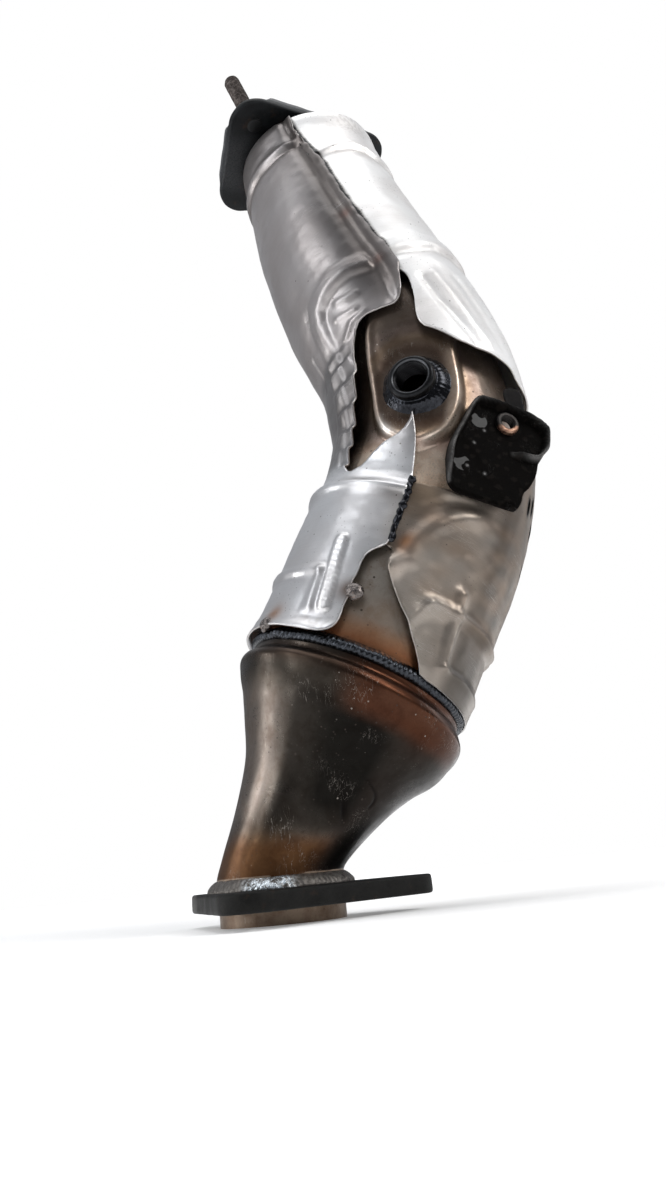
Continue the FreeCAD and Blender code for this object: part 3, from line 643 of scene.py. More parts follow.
def left_colour(P):
    s = P[:, 0]; ph = P[:, 1] / DEG
    c = col((0.44, 0.415, 0.412), len(P))
    # painted light: the lower half is painted lighter and bluer, standing in for the cool light it faces
    low = smooth((s - 225) / 45)
    c = blend(c, (0.66, 0.665, 0.68), low)
    # painted shade: darker towards the seam over the upper half
    c = c * (1 - 0.80 * (np.exp(-((ph - 6) / 17.0) ** 2) * (1 - smooth((s - 150) / 30))))[:, None]
    rd, side, _ = line_dist(P, flat(ROOT))
    # painted shade in the valley beside the flange root
    root_valley_shade = np.exp(-(rd / 7.0) ** 2) * (1 - smooth((s - 160) / 15))
    c = blend(c, (0.16, 0.14, 0.13), root_valley_shade * 0.65)
    # painted shade in the groove under the first bead, and a shaded patch at the head of the pocket
    c = blend(c, (0.22, 0.195, 0.185), 0.6 * np.exp(-((s - 31) / 3.0) ** 2))
    c = blend(c, (0.22, 0.195, 0.185), 0.5 * spot(s, ph, 140, 6, 20, 10))
    # painted shade over the folds of the gathered strip beside the window
    c = blend(c, (0.13, 0.125, 0.125), 0.72 * smooth((ph - 38) / 10) * (1 - smooth((ph - 76) / 24)) * smooth((s - 170) / 12) * (1 - smooth((s - 262) / 14)))
    c = blend(c, (0.42, 0.36, 0.32), 0.45 * np.exp(-((s - 296) / 6) ** 2) * np.exp(-((ph - 14) / 9) ** 2))
    c = blend(c, (0.48, 0.42, 0.36), 0.5 * spot(s, ph, 312, 10, 16, 6))
    for s0, p0 in ((102.4, 1.7), (143.4, -1.4)):
        c = blend(c, (0.13, 0.085, 0.075), 0.9 * spot(s, ph, s0, p0, 3.2, 3.6))
    # burnt edge by the weld blob and the lower tack
    c = blend(c, (0.16, 0.10, 0.07), 0.9 * spot(s, ph, 352, 17, 5.5, 5.5))
    c = blend(c, (0.40, 0.20, 0.10), 0.8 * spot(s, ph, 369, 54, 4.5, 5.5))
    c = blend(c, (0.22, 0.20, 0.19), 0.7 * spot(s, ph, 374, 57, 3.0, 4.0))
    d, _, _ = line_dist(P, flat(BAR))
    c = blend(c, (0.86, 0.86, 0.87), 1 - smooth((d - 2.0) / 1.0))
    # painted highlight where the foot flares out
    c = blend(c, (0.84, 0.84, 0.85), 0.8 * spot(s, ph, 366, 22, 4.0, 7.0))
    c = blend(c, (0.30, 0.27, 0.25), 0.35 * spot(s, ph, 371, 27, 4.0, 9.0) * (waves(P, 5, 3) > 0))
    return np.clip(c, 0, 1)


UR_EDGE = [(0.0, 11.0), (30, 11.2), (56.4, 4.4), (70.1, 3.2), (112.1, -0.9), (133, -3.2), (146, -4.6), (152, -7.5),
           (159.6, -11.1), (166.0, -9.8), (173.0, -7.5), (182.6, -2.8), (188.0, -1.4), (192.3, -1.0), (196.0, -2.6)]
UR_LOW = [(200.2, -8.6), (205.2, -14.8), (208.4, -21.4), (211.3, -34.8), (213.4, -48.9), (214.7, -54.2), (218.5, -57.1),
          (219.5, -70.0), (220.0, -90.0), (221.0, -130), (220.5, -186.0)]
UR_TOP = [(0.0, -186.0), (0.0, -120.0), (0.0, -60.0)]


def ur_relief(P, back):
    s = P[:, 0]; ph = P[:, 1] / DEG
    d = np.zeros(len(P))
    rib = [(48.5, 10.0), (48.5, -2.2), (44.2, -13.3), (39.8, -27.7), (39.4, -41.8), (42.0, -55.0), (44.0, -90), (44, -186)]
    rd, side, _ = line_dist(P, flat(rib))
    lowside = rd * side
    if lowside[np.argmax(s - np.abs(ph + 30) * 2)] < 0:
        lowside = -lowside
    d += 1.0 * (1 - smooth((lowside + 3) / 5)) + 0.7 * np.exp(-((lowside + 3.5) / 3.0) ** 2) - 0.8 * np.exp(-((lowside - 1.8) / 2.6) ** 2)
    up = [(129.5, 2.0), (128.3, -15.3), (126.0, -35.1), (127.0, -51.7), (131.0, -75), (131, -186)]
    lo = [(143.0, 2.0), (141.8, -11.9), (141.3, -29.0), (140.2, -42.4), (144.0, -60), (146, -90), (146, -186)]
    a, sa, _ = line_dist(P, flat(up)); b, sb, _ = line_dist(P, flat(lo))
    if (a * sa)[np.argmax(s)] < 0:
        sa = -sa
    if (b * sb)[np.argmax(s)] < 0:
        sb = -sb
    d += 1.9 * smooth((a * sa + 3) / 6) * (1 - smooth((b * sb + 3.5) / 5.5))
    d -= 0.5 * np.exp(-((b * sb - 3) / 2.5) ** 2)
    d -= ridge(P, flat([(164.2, -19.3), (179.2, -19.8), (190.4, -23.1), (206.4, -29.1)]), 3.0, 1.1)
    d += ridge(P, flat([(163.0, -28.3), (176.8, -29.4), (195.7, -32.8), (207, -38)]), 3.4, 1.0)
    d -= ridge(P, flat([(166, -44), (184, -45), (204, -49)]), 3.5, 0.7)
    d -= 0.5 * spot(s, ph, 90, -5, 6, 5)
    d += 0.6 * (1 - smooth(s / 3.0)) * -1.0
    d += 0.7 * smooth((s - 194) / 10) * smooth((ph + 62) / 20) * (1 - smooth((ph + 8) / 8))
    d += 0.20 * waves(P, 36, 21) + 0.08 * waves(P, 12, 22)
    return d


def ur_colour(P):
    s = P[:, 0]; ph = P[:, 1] / DEG
    c = col((0.86, 0.855, 0.85), len(P))
    # painted shade: grey bands below the first and second beads, a grey patch by the top collar's edge and a darker far
    # flank
    c = blend(c, (0.52, 0.50, 0.49), 0.55 * np.exp(-((s - 45) / 4.0) ** 2))
    c = blend(c, (0.56, 0.54, 0.53), 0.5 * np.exp(-((s - 143) / 4.0) ** 2))
    c = blend(c, (0.50, 0.48, 0.47), 0.5 * spot(s, ph, 6, -38, 14, 16) * (waves(P, 4, 5) > 0.1))
    c = blend(c, (0.60, 0.58, 0.565), 0.7 * smooth((-ph - 58) / 25))
    # painted shadow: a near-black line where the left shield's edge stands over this sheet, with a softer dark fringe
    # beside it
    gap = (seam_phi(s) - ph) * DEG - 0.5 * waves(P, 9, 25) * 0.9
    c = blend(c, (0.004, 0.004, 0.004), 0.99 * (1 - smooth((gap - 0.2) / 0.9)) * (1 - smooth((s - 150) / 8)) * smooth((s - 3) / 5))
    c = blend(c, (0.25, 0.23, 0.21), 0.5 * (1 - smooth((gap - 0.9) / 1.2)) * (gap > 0.5) * (1 - smooth((s - 150) / 8)))
    return np.clip(c, 0, 1)


LR_TOP = [(281.6, 12.0), (281.6, 7.4), (280.6, 0.0), (280.0, -8.6), (279.6, -16.0), (278.9, -22.7), (275.7, -38.8),
          (274.1, -47.0), (272.9, -51.2), (269.5, -54.9), (266.0, -55.4), (263.4, -56.0), (261.4, -58.6), (260.2, -62.9),
          (255.0, -66.5), (250.2, -71.2), (249.5, -78.0), (250.7, -90.0), (254.0, -115), (262.0, -140.0), (269.5, -165),
          (271.0, -186.0)]
LR_BOT = [(376.1, -186.0), (376.1, -120.0), (376.1, -73.2), (376.1, -50.0), (376.1, -33.9)]
LR_LEFT = [(375.2, -29.0), (366.9, -23.9), (356.4, -14.9), (346.5, -5.0), (340.0, 0.6), (335.1, 4.8), (330.0, 5.8),
           (325.1, 5.9), (324.0, 9.5), (322.0, 14.0), (305.0, 15.4), (293.0, 15.4)]
LR_SLOTS = [((266.6, -66.2), (3.5, 1.25), 12), ((265.0, -72.7), (3.6, 1.2), 14), ((273.1, -79.8), (3.4, 1.2), 10),
            ((292.3, -79.5), (2.8, 1.0), 8)]


def slot_loop(c, half, lean, n=20):
    out = []
    for k in range(n):
        t = 2 * math.pi * k / n
        x, y = half[0] * math.cos(t), half[1] * math.sin(t)
        a = math.radians(lean)
        out.append((c[0] + x * math.cos(a) - y * math.sin(a), c[1] * DEG + x * math.sin(a) + y * math.cos(a)))
    return np.array(out)


def lr_relief(P, back):
    s = P[:, 0]; ph = P[:, 1] / DEG
    d = np.zeros(len(P))
    # upright rib with a knob at its head, a short left arm and a long right arm
    d += ridge(P, flat([(330.5, -34.6), (338.6, -35.7), (345.2, -36.2), (359.9, -37.9), (366.0, -38.9)]), 3.0, 2.1)
    d += 0.9 * spot(s, ph, 330.5, -34.4, 4.0, 4.0)
    d += ridge(P, flat([(341.7, -21.8), (340.3, -26.3), (340.2, -33.2)]), 2.9, 1.7)
    d += ridge(P, flat([(340.4, -37.3), (339.5, -44.4), (339.0, -55.7), (338.7, -68.5), (338.5, -110)]), 2.3, 1.9)
    box = smooth((s - 340) / 4) * (1 - smooth((s - 362) / 5)) * smooth((-ph - 38.5) / 3)
    d -= 1.1 * box
    d += ridge(P, flat([(366.6, -39.3), (366.1, -44.8), (364.7, -55.0), (363.7, -72.2), (363.7, -110)]), 2.4, 1.3)
    d -= 0.5 * smooth((s - 344) / 4) * (1 - smooth((s - 366) / 6)) * smooth((ph + 35) / 3) * (1 - smooth((ph + 20) / 6))
    # sweeping ridge from the edge to the bracket, hollow above it
    sw = [(332.0, 3.0), (326.5, -2.6), (317.5, -2.7), (311.1, -5.1), (305.0, -8.7), (298.9, -14.2), (293.4, -21.4),
          (288.5, -30.0), (286, -40)]
    rd, side, al = line_dist(P, flat(sw))
    up = rd * side
    ref = np.argmin(np.abs(s - 290) + np.abs(ph + 4))
    if up[ref] > 0:
        up = -up
    taper = 1 - smooth((al - 0.75) / 0.25)
    d += taper * (2.0 * np.exp(-((up - 0.5) / 5.0) ** 2) - 1.5 * np.exp(-((up + 8.5) / 6.0) ** 2))
    d += ridge(P, flat([(356.5, -13.0), (350.0, -16.0), (343.0, -20.4)]), 3.4, 1.2)
    d -= 0.7 * spot(s, ph, 352, -26, 8, 7)
    # lifted corner beside the weld chain
    d += 1.6 * np.exp(-((s - 334) / 9) ** 2) * smooth((ph + 4) / 8)
    d -= 1.2 * smooth((s - 366) / 10) * 0.4
    d += 0.25 * waves(P, 30, 31) + 0.10 * waves(P, 10, 32)
    return d


def lr_colour(P):
    s = P[:, 0]; ph = P[:, 1] / DEG
    c = col((0.455, 0.40, 0.345), len(P))
    c = blend(c, (0.52, 0.475, 0.43), 0.6 * (0.5 + 0.5 * waves(P, 28, 5)))
    # painted light and shade: the sheet is dimmed overall, darker in patches and down the right flank, a little lighter
    # at the far right
    c = c * (0.66 - 0.30 * spot(s, ph, 300, -8, 16, 16) - 0.42 * smooth((-ph - 36) / 12) + 0.16 * smooth((-ph - 70) / 12) - 0.14 * np.exp(-((s - 290) / 9) ** 2) * smooth((ph + 12) / 8))[:, None]
    c = blend(c, (0.42, 0.32, 0.22), 0.55 * spot(s, ph, 286, 2, 9, 9))
    c = blend(c, (0.30, 0.23, 0.18), 0.6 * spot(s, ph, 299, -6, 7, 7))
    c = blend(c, (0.26, 0.12, 0.055), 0.95 * spot(s, ph, 320, 1.5, 6.0, 4.6))
    # painted highlight on the lifted corner by the weld chain, and the far right painted lighter
    c = blend(c, (0.60, 0.57, 0.54), 0.5 * spot(s, ph, 336, -2, 8, 6))
    c = blend(c, (0.58, 0.54, 0.50), 0.5 * smooth((-ph - 62) / 15))
    c = blend(c, (0.20, 0.145, 0.10), 0.55 * spot(s, ph, 291, 4, 13, 9))
    c = blend(c, (0.30, 0.20, 0.13), 0.35 * (0.5 + 0.5 * waves(P, 17, 6)) * (1 - smooth((s - 335) / 20)))
    # painted shade: the sheet round each slot is painted near black
    for k, h, l in LR_SLOTS:
        u = (s - k[0]) / (h[0] + 1.1); v = (ph - k[1]) * DEG / (h[1] + 1.3)
        c = blend(c, (0.004, 0.004, 0.004), 1 - smooth((np.hypot(u, v) - 0.8) / 0.25))
    return np.clip(c, 0, 1)


def shield(name, outline, base, relief, colour, replaces, rough, metal, holes=(), loops=()):
    fine_step = 1.25
    rim = resample(outline, 0.9)
    co, tri = flat_mesh(rim, fine_step, coarse=lambda p: (np.abs(p[:, 1]) > 88 * DEG) & (np.abs(p[:, 0]) < 1e9), holes=loops)
    ph = co[:, 1] / DEG
    d = relief(co, None)
    back = smooth((np.abs(ph) - 80) / 12)
    P = SKIN.point(co[:, 0], ph, base + d)
    c = colour(co)
    n = len(co)
    arc = np.stack([co[:, 0], co[:, 1], np.zeros(n)], 1)
    # keep faces looking outwards
    f0 = np.array(tri[: min(400, len(tri))])
    nrm = np.cross(P[f0[:, 1]] - P[f0[:, 0]], P[f0[:, 2]] - P[f0[:, 0]])
    cen = P[f0].mean(1); ax = SKIN.at(SKIN.C, co[f0[:, 0], 0])
    if ((nrm * (cen - ax)).sum(1)).mean() < 0:
        tri = [t[::-1] for t in tri]
    ob = make(name, P, tri, slot="shield_steel", replaces=replaces, mats=[SHEET, EDGE],
              attrs={"flat": arc, "tint": np.c_[c, np.ones(n)], "rough": rough(co), "metal": metal(co)})
    thicken(ob, 1.0, -1.0, rim_mat=1)
    return ob


SHEET = steel_sheet("shield_sheet")
EDGE = edge_sheet("shield_edge", dark=[SKIN.point(np.array([c[0]]), np.array([c[1]]), np.zeros(1))[0] for c, h, l in LR_SLOTS])

top_left = [(0.0, 180.0), (0.0, 120.0), (0.0, 60.0)]
TRIM = [(a, b + 2.3 * min(1.0, a / 12.0) * min(1.0, max(0.0, (141.0 - a) / 14.0)) + (0.45 * math.sin(a * 0.31) + 0.3 * math.sin(a * 0.83)) * (6 < a < 136))
        for a, b in [(float(q), float(seam_phi(q))) for q in np.arange(0, 144.3, 2.4)] + [(144.2, -10.0)]]
left_outline = flat(TRIM + soften(WINDOW, 1) + SPIKE + soften(CHAIN, 1) + soften(LOWL, 1) + top_left)
shield("left_shield_skin", left_outline, 0.0, left_relief, left_colour, ["left_shield"],
       lambda P: 0.36 + 0.03 * waves(P, 40, 2), lambda P: np.full(len(P), 0.88))
ur_outline = flat(soften(UR_EDGE, 1) + soften(UR_LOW, 1) + UR_TOP)
shield("upper_right_shield_skin", ur_outline, -1.0, ur_relief, ur_colour, ["upper_right_shield"],
       lambda P: 0.42 + 0.03 * waves(P, 40, 4), lambda P: np.full(len(P), 0.60))
lr_outline = flat(soften(LR_TOP, 1) + soften(LR_BOT, 1) + soften(LR_LEFT, 1))
shield("lower_right_shield_skin", lr_outline, -1.0, lr_relief, lr_colour, ["lower_right_shield"],
       lambda P: 0.40 + 0.03 * waves(P, 30, 6), lambda P: np.full(len(P), 0.80),
       loops=[slot_loop(c, h, l) for c, h, l in LR_SLOTS])


# ---------------------------------------------------------------- pressed elbow, front half
TOPL = PL + DL * 82.0
ELB = Spine([(*(PL + DL * 74.0), 54.5), (*TOPL, 54.3), (94.6, 22.2, 209.9, 49.6), (99.1, 24.8, 244.3, 47.5),
             (94.6, 33.2, 283.8, 46.6), (84.3, 41.4, 310, 45.2), (*PU, 44.5), (*(PU + DU * 10), 44.5)][::-1])
# s runs down from the upper sleeve; the boss sits at about s = 96
s_boss = ELB.S[np.argmin(np.linalg.norm(ELB.C - (BC - BD * 55), axis=1))]


def elbow_local(pt):
    """(s, phi) on the elbow under a point in mm."""
    i = np.argmin(np.linalg.norm(ELB.C - pt, axis=1))
    for _ in range(3):
        q = pt - ELB.C[i]
        i = int(np.clip(np.searchsorted(ELB.S, ELB.S[i] + q @ ELB.T[i]), 0, len(ELB.S) - 1))
    q = pt - ELB.C[i]
    return ELB.S[i], math.degrees(math.atan2(q @ ELB.V[i], q @ ELB.U[i]))


sb, pb = elbow_local(BC - BD * 9.0)
ED = 47.0 * math.pi / 180


def seat_edge(P):
    """Distance inside the rounded seat of the boss, in mm."""
    # raised seat for the boss with a rounded rim
    seat = [(sb - 62, pb + 8), (sb - 50, pb + 14), (sb - 44, pb + 21), (sb - 26, pb + 27), (sb - 10, pb + 29), (sb + 6, pb + 29),
            (sb + 16, pb + 27), (sb + 24, pb + 22), (sb + 29, pb + 15), (sb + 33, pb + 8), (sb + 36, pb), (sb + 31, pb - 9),
            (sb + 24, pb - 18), (sb + 14, pb - 25), (sb + 5, pb - 28.5), (sb - 6, pb - 29.5), (sb - 16, pb - 31), (sb - 28, pb - 36),
            (sb - 45, pb - 46), (sb - 62, pb - 50)]
    L = np.array([(a, b * ED) for a, b in seat])
    Ls = np.array([tuple(p) for p in soften([L[0]] + list(L[1:]), 2)])
    dist, _, _ = line_dist(P, np.vstack([Ls, Ls[:1]]))
    ins = in_poly(P, Ls)
    return np.where(ins, dist, -dist)


def elbow_relief(P):
    s = P[:, 0]; ph = P[:, 1] / ED
    d = np.full(len(P), -2.4)
    e = seat_edge(P)
    d += 4.6 * smooth((e + 3.5) / 6.5)
    d += 0.9 * np.exp(-((e - 3.2) / 2.6) ** 2) * (1 - smooth((sb - 44 - s) / 10))
    d -= 0.8 * smooth((e - 8) / 14)
    # the band where the lower shield grips, and the low shoulder
    d += 2.0 * smooth((s - (ELB.S[-1] - 34)) / 16)
    d += 2.4 * (1 - smooth((s - 18) / 10))
    d += 0.25 * waves(P, 26, 41) + 0.08 * waves(P, 9, 42)
    # level with the weld round the boss
    rr = np.hypot(s - sb, (ph - pb) * ED)
    d = d * smooth((rr - 12) / 10) + 0.9 * (1 - smooth((rr - 12) / 10))
    return d


def elbow_colour(P):
    s = P[:, 0]; ph = P[:, 1] / ED
    n = len(P)
    c = col((0.345, 0.262, 0.205), n)
    c = blend(c, (0.42, 0.355, 0.30), 0.55 * (0.5 + 0.5 * waves(P, 30, 43)))
    c = blend(c, (0.30, 0.22, 0.175), 0.6 * (1 - smooth((s - (sb - 66)) / 30)))
    rr = np.hypot(s - sb, (ph - pb) * ED)
    c = blend(c, (0.20, 0.115, 0.075), 0.75 * np.exp(-((rr - 20) / 4.5) ** 2))
    c = blend(c, (0.46, 0.30, 0.17), 0.45 * np.exp(-((rr - 27) / 4.0) ** 2))
    c = blend(c, (0.33, 0.22, 0.20), 0.35 * np.exp(-((rr - 33) / 4.0) ** 2))
    c = blend(c, (0.52, 0.44, 0.36), 0.6 * smooth((s - sb - 30) / 14))
    c = blend(c, (0.56, 0.39, 0.25), 0.55 * spot(s, ph, sb + 62, pb - 14, 14, 18))
    # painted shade down the left side, where it falls away into the gap under the shield
    c = blend(c, (0.16, 0.13, 0.115), 0.4 * smooth((ph - pb - 40) / 8) * (1 - smooth((s - sb - 20) / 15)))
    e = seat_edge(P)
    # painted light and shade: the upper part is darkened to a third, the lower part and the right side lightened
    c = c * (0.31 + 1.05 * smooth((s - sb - 14) / 22) + 0.42 * np.clip(smooth((pb - 18 - ph) / 12) * smooth((s - sb + 16) / 14), 0, 1) * (1 - smooth((s - sb - 14) / 22)))[:, None]
    # painted highlights on the rounded rim of the boss seat: along its left side, a bright spot at the bottom, along
    # the right side and a broader sheen below it
    crest = np.exp(-((e - 1.8) / 1.5) ** 2)
    c = blend(c, (0.80, 0.66, 0.56), 0.85 * crest * smooth((ph - pb - 8) / 8) * smooth((s - sb + 46) / 10) * (1 - smooth((s - sb - 10) / 10)))
    c = blend(c, (0.95, 0.92, 0.88), 0.95 * np.exp(-((e - 2.6) / 2.6) ** 2) * spot(s, ph, sb + 23, pb + 17, 9, 7))
    c = blend(c, (0.86, 0.76, 0.66), 0.85 * crest * smooth((pb - 2 - ph) / 6) * smooth((s - sb + 12) / 12))
    c = blend(c, (0.62, 0.50, 0.40), 0.6 * np.exp(-((e - 3.5) / 4.0) ** 2) * smooth((pb - 14 - ph) / 6) * smooth((s - sb + 20) / 12))
    return np.clip(c, 0, 1)


def tinted_steel(name, pit_scale=0.30, bump=0.35):
    """Heat-tinted pressed steel: soft mottling, oxide specks and handling marks; colour comes from the surface."""
    m = Mat(name)
    tint = m.attr("tint", "Color")
    return tinted_core(m, tint, m.attr("rough"), m.attr("metal"), pit_scale, bump)


def tinted_core(m, tint, rough, metal, pit_scale=0.30, bump=0.35):
    mott = m.noise(m.pos, 0.11, 5, 0.65, 0.3)
    fineg = m.noise(m.pos, 1.1, 4, 0.7)
    c = m.mix(m.mask(mott, 0.38, 0.72), tint, m.mix(1.0, tint, (0.70, 0.64, 0.60), "MULTIPLY"))
    c = m.mix(m.math("MULTIPLY", m.mask(fineg, 0.5, 0.78), 0.4), c, m.mix(1.0, c, (0.62, 0.58, 0.55), "MULTIPLY"))
    patch = m.mask(m.noise(m.pos, 0.06, 2, 0.5), 0.42, 0.66)
    pit = m.math("MULTIPLY", m.math("LESS_THAN", m.cells(m.pos, pit_scale), 0.15), patch)
    speck = m.math("LESS_THAN", m.cells(m.pos, 0.10), 0.06)
    dark = m.math("MAXIMUM", m.math("MULTIPLY", pit, 0.6), m.math("MULTIPLY", speck, 0.85))
    c = m.mix(dark, c, (0.05, 0.04, 0.035))
    pale = m.math("MULTIPLY", m.math("LESS_THAN", m.cells(m.math_vec("ADD", m.pos, (7.0, 3.0, 11.0)), 0.22), 0.09),
                  m.mask(m.noise(m.pos, 0.05, 2, 0.5), 0.5, 0.7))
    c = m.mix(m.math("MULTIPLY", pale, 0.4), c, (0.55, 0.50, 0.45))
    sc = m.noise(m.stretch(m.pos, (0.5, 0.5, 0.06)), 1.0, 2, 0.5, 0.8)
    line = m.math("SUBTRACT", 1.0, m.math("MULTIPLY", m.math("ABSOLUTE", m.math("SUBTRACT", sc, 0.5)), 120.0), clamp=True)
    line = m.math("MULTIPLY", line, m.mask(m.noise(m.pos, 0.045, 2, 0.5), 0.52, 0.62))
    c = m.mix(m.math("MULTIPLY", line, 0.35), c, (0.58, 0.53, 0.48))
    r = m.math("ADD", rough, m.math("MULTIPLY", m.math("SUBTRACT", mott, 0.5), 0.35))
    r = m.math("ADD", r, m.math("MULTIPLY", m.math("SUBTRACT", fineg, 0.5), 0.15))
    r = m.math("ADD", r, m.math("MULTIPLY", dark, 0.2), clamp=True)
    h = m.math("SUBTRACT", m.math("ADD", m.math("MULTIPLY", fineg, 0.5), m.math("MULTIPLY", mott, 0.7)), m.math("MULTIPLY", dark, 0.7))
    n = m.bump(h, bump, 0.15)
    n2 = m.bump(m.noise(m.pos, 0.05, 2, 0.5), 0.4, 0.8, n)
    return m.out(c, r, metal, n2)


ELBOW_MAT = tinted_steel("elbow_front_steel")
slen = ELB.S[-1]
hole = np.array([(sb + 11.9 * math.cos(t), pb * ED + 11.9 * math.sin(t)) for t in np.linspace(0, 2 * math.pi, 48, endpoint=False)])
eo = resample([(0.0, 92 * ED), (slen, 92 * ED), (slen, -92 * ED), (0.0, -92 * ED)], 1.5)
co, tri = flat_mesh(eo, 1.25, coarse=lambda p: np.abs(p[:, 1]) > 72 * ED, holes=[hole])
P3 = ELB.point(co[:, 0], co[:, 1] / ED, elbow_relief(co))
f0 = np.array(tri[:300]); nrm = np.cross(P3[f0[:, 1]] - P3[f0[:, 0]], P3[f0[:, 2]] - P3[f0[:, 0]])
if ((nrm * (P3[f0].mean(1) - ELB.at(ELB.C, co[f0[:, 0], 0]))).sum(1)).mean() < 0:
    tri = [t[::-1] for t in tri]
ec = elbow_colour(co)
PIN = ELB.point(co[:, 0], co[:, 1] / ED, elbow_relief(co) - 1.5)
ec2 = np.c_[ec, np.ones(len(co))]
er = 0.34 + 0.04 * waves(co, 20, 44) - 0.07 * smooth((co[:, 0] - sb - 20) / 12)
make("elbow_front", *paired(P3, PIN, tri), slot="elbow_steel", replaces=["mid_shell_front"], mats=[ELBOW_MAT], sharp=50,
     attrs={"tint": np.vstack([ec2, ec2]), "rough": np.r_[er, er], "metal": np.tile(0.82 - 0.50 * smooth((co[:, 0] - sb - 22) / 16), 2)})


# ---------------------------------------------------------------- sensor boss and its weld
def elbow_gap(pt):
    """Height of a point over the elbow piece's outer face, in mm."""
    s, ph = elbow_local(pt)
    r = np.linalg.norm(pt - ELB.point(np.array([s]), np.array([ph]), -ELB.radius(s))[0])
    return r - ELB.radius(s) - elbow_relief(np.array([(s, ph * ED)]))[0]


def dark_metal(name, base, high, rough=0.35, metal=0.9, scale=0.5, bump=0.4, rust=None, rust_lo=0.55, gloss_var=0.35, coat=0.0):
    """Dark scaled or oxidised metal; base and high are colours, rust an optional patchy third."""
    m = Mat(name)
    g = m.noise(m.pos, scale, 5, 0.68, 0.4)
    f = m.noise(m.pos, scale * 5.5, 4, 0.7)
    c = m.ramp(m.math("ADD", m.math("MULTIPLY", g, 0.75), m.math("MULTIPLY", f, 0.25)), [(0.34, base), (0.56, tuple((a + b) / 2 for a, b in zip(base, high))), (0.74, high)])
    if rust is not None:
        p = m.mask(m.noise(m.pos, scale * 0.5, 4, 0.7), rust_lo, rust_lo + 0.14)
        c = m.mix(m.math("MULTIPLY", p, 0.8), c, m.mix(f, rust, tuple(k * 0.5 for k in rust)))
        met = m.math("SUBTRACT", metal, m.math("MULTIPLY", p, 0.6), clamp=True)
    else:
        met = metal
    sp = m.math("LESS_THAN", m.cells(m.pos, scale * 0.8), 0.12)
    c = m.mix(m.math("MULTIPLY", sp, 0.55), c, tuple(k * 0.35 for k in base))
    r = m.math("ADD", rough, m.math("MULTIPLY", m.math("SUBTRACT", g, 0.5), gloss_var), clamp=True)
    h = m.math("ADD", g, m.math("MULTIPLY", f, 0.5))
    n = m.bump(h, bump, 0.25)
    named = {"Coat_Weight": coat, "Coat_Roughness": 0.12} if coat else {}
    return m.out(c, r, met, n, **named)


WELD_MAT = dark_metal("weld_bead", (0.008, 0.009, 0.011), (0.10, 0.108, 0.125), 0.22, 0.95, 0.55, 0.5, gloss_var=0.4)
GLOSS_WELD = dark_metal("weld_glossy", (0.006, 0.006, 0.0075), (0.050, 0.053, 0.062), 0.10, 0.9, 0.30, 0.35, gloss_var=0.3)
TACK_MAT = dark_metal("tack_weld", (0.05, 0.045, 0.045), (0.34, 0.30, 0.28), 0.28, 0.9, 0.7, 0.5, rust=(0.30, 0.13, 0.06), rust_lo=0.6)
BOSS_MAT = Mat("boss_turned")
_m = BOSS_MAT
_q = _m.math_vec("SUBTRACT", _m.pos, tuple(BC))
_h = _m.math_vec("DOT_PRODUCT", _q, tuple(BD))
_rr = _m.math_vec("LENGTH", _m.math_vec("SUBTRACT", _q, _m.math_vec("SCALE", tuple(BD), None, _h)))
_g = _m.noise(_m.pos, 0.35, 5, 0.68, 0.4); _f = _m.noise(_m.pos, 2.2, 4, 0.7)
_c = _m.ramp(_g, [(0.34, (0.007, 0.0072, 0.008)), (0.56, (0.016, 0.0165, 0.018)), (0.74, (0.034, 0.035, 0.039))])
_edge = _m.math("MULTIPLY", _m.mask(_rr, 8.9, 9.3), _m.math("SUBTRACT", 1.0, _m.mask(_rr, 9.6, 10.3)))
_c = _m.mix(_m.math("MULTIPLY", _edge, 0.8), _c, (0.09, 0.093, 0.10))
# painted shade: the bore is painted near black, darker with depth
_bore_shade = _m.math("SUBTRACT", 1.0, _m.mask(_rr, 8.9, 9.3))
_c = _m.mix(_m.math("MULTIPLY", _bore_shade, _m.mask(_m.math("MULTIPLY", _h, -1.0), 0.5, 5.0)), _c, (0.006, 0.006, 0.0068))
_m.out(_c, _m.math("ADD", 0.30, _m.math("MULTIPLY", _f, 0.12)), 0.9, _m.bump(_m.math("ADD", _g, _m.math("MULTIPLY", _f, 0.3)), 0.2, 0.2))
BOSS_MAT = BOSS_MAT.m

pr = [(12.2, -14.0), (12.2, -9.0), (12.2, -5.0), (12.2, -2.2), (12.15, -1.5), (11.95, -0.95), (11.5, -0.45), (10.9, -0.12),
      (10.4, 0.0), (9.9, -0.04), (9.5, -0.25), (9.2, -0.6)]
pr += [(8.55, h) for h in np.arange(-1.0, -13.6, -0.19)] + [(9.3, -14.0)]


def boss_thread(TH, R, H):
    inside = (R < 8.7)
    ph = (H / 1.5 - TH / (2 * math.pi)) % 1.0
    saw = np.abs(ph - 0.5) * 2
    fade = np.clip((-H - 0.9) / 0.8, 0, 1)
    dr = np.where(inside, (saw * 0.85 - 0.35) * fade + (1 - fade) * 0.45, 0.0)
    dr = dr + np.where(~inside, 0.04 * np.sin(TH * 3 + 1) + 0.03 * np.sin(TH * 7 + H), 0)
    return dr, np.where(~inside, 0.05 * np.sin(TH * 2 + 0.6), 0.0)


turned("sensor_boss_turned", BC, BD, pr, n=128, bump=boss_thread, slot="boss_steel", replaces=["sensor_boss"], mats=[BOSS_MAT], sharp=42)

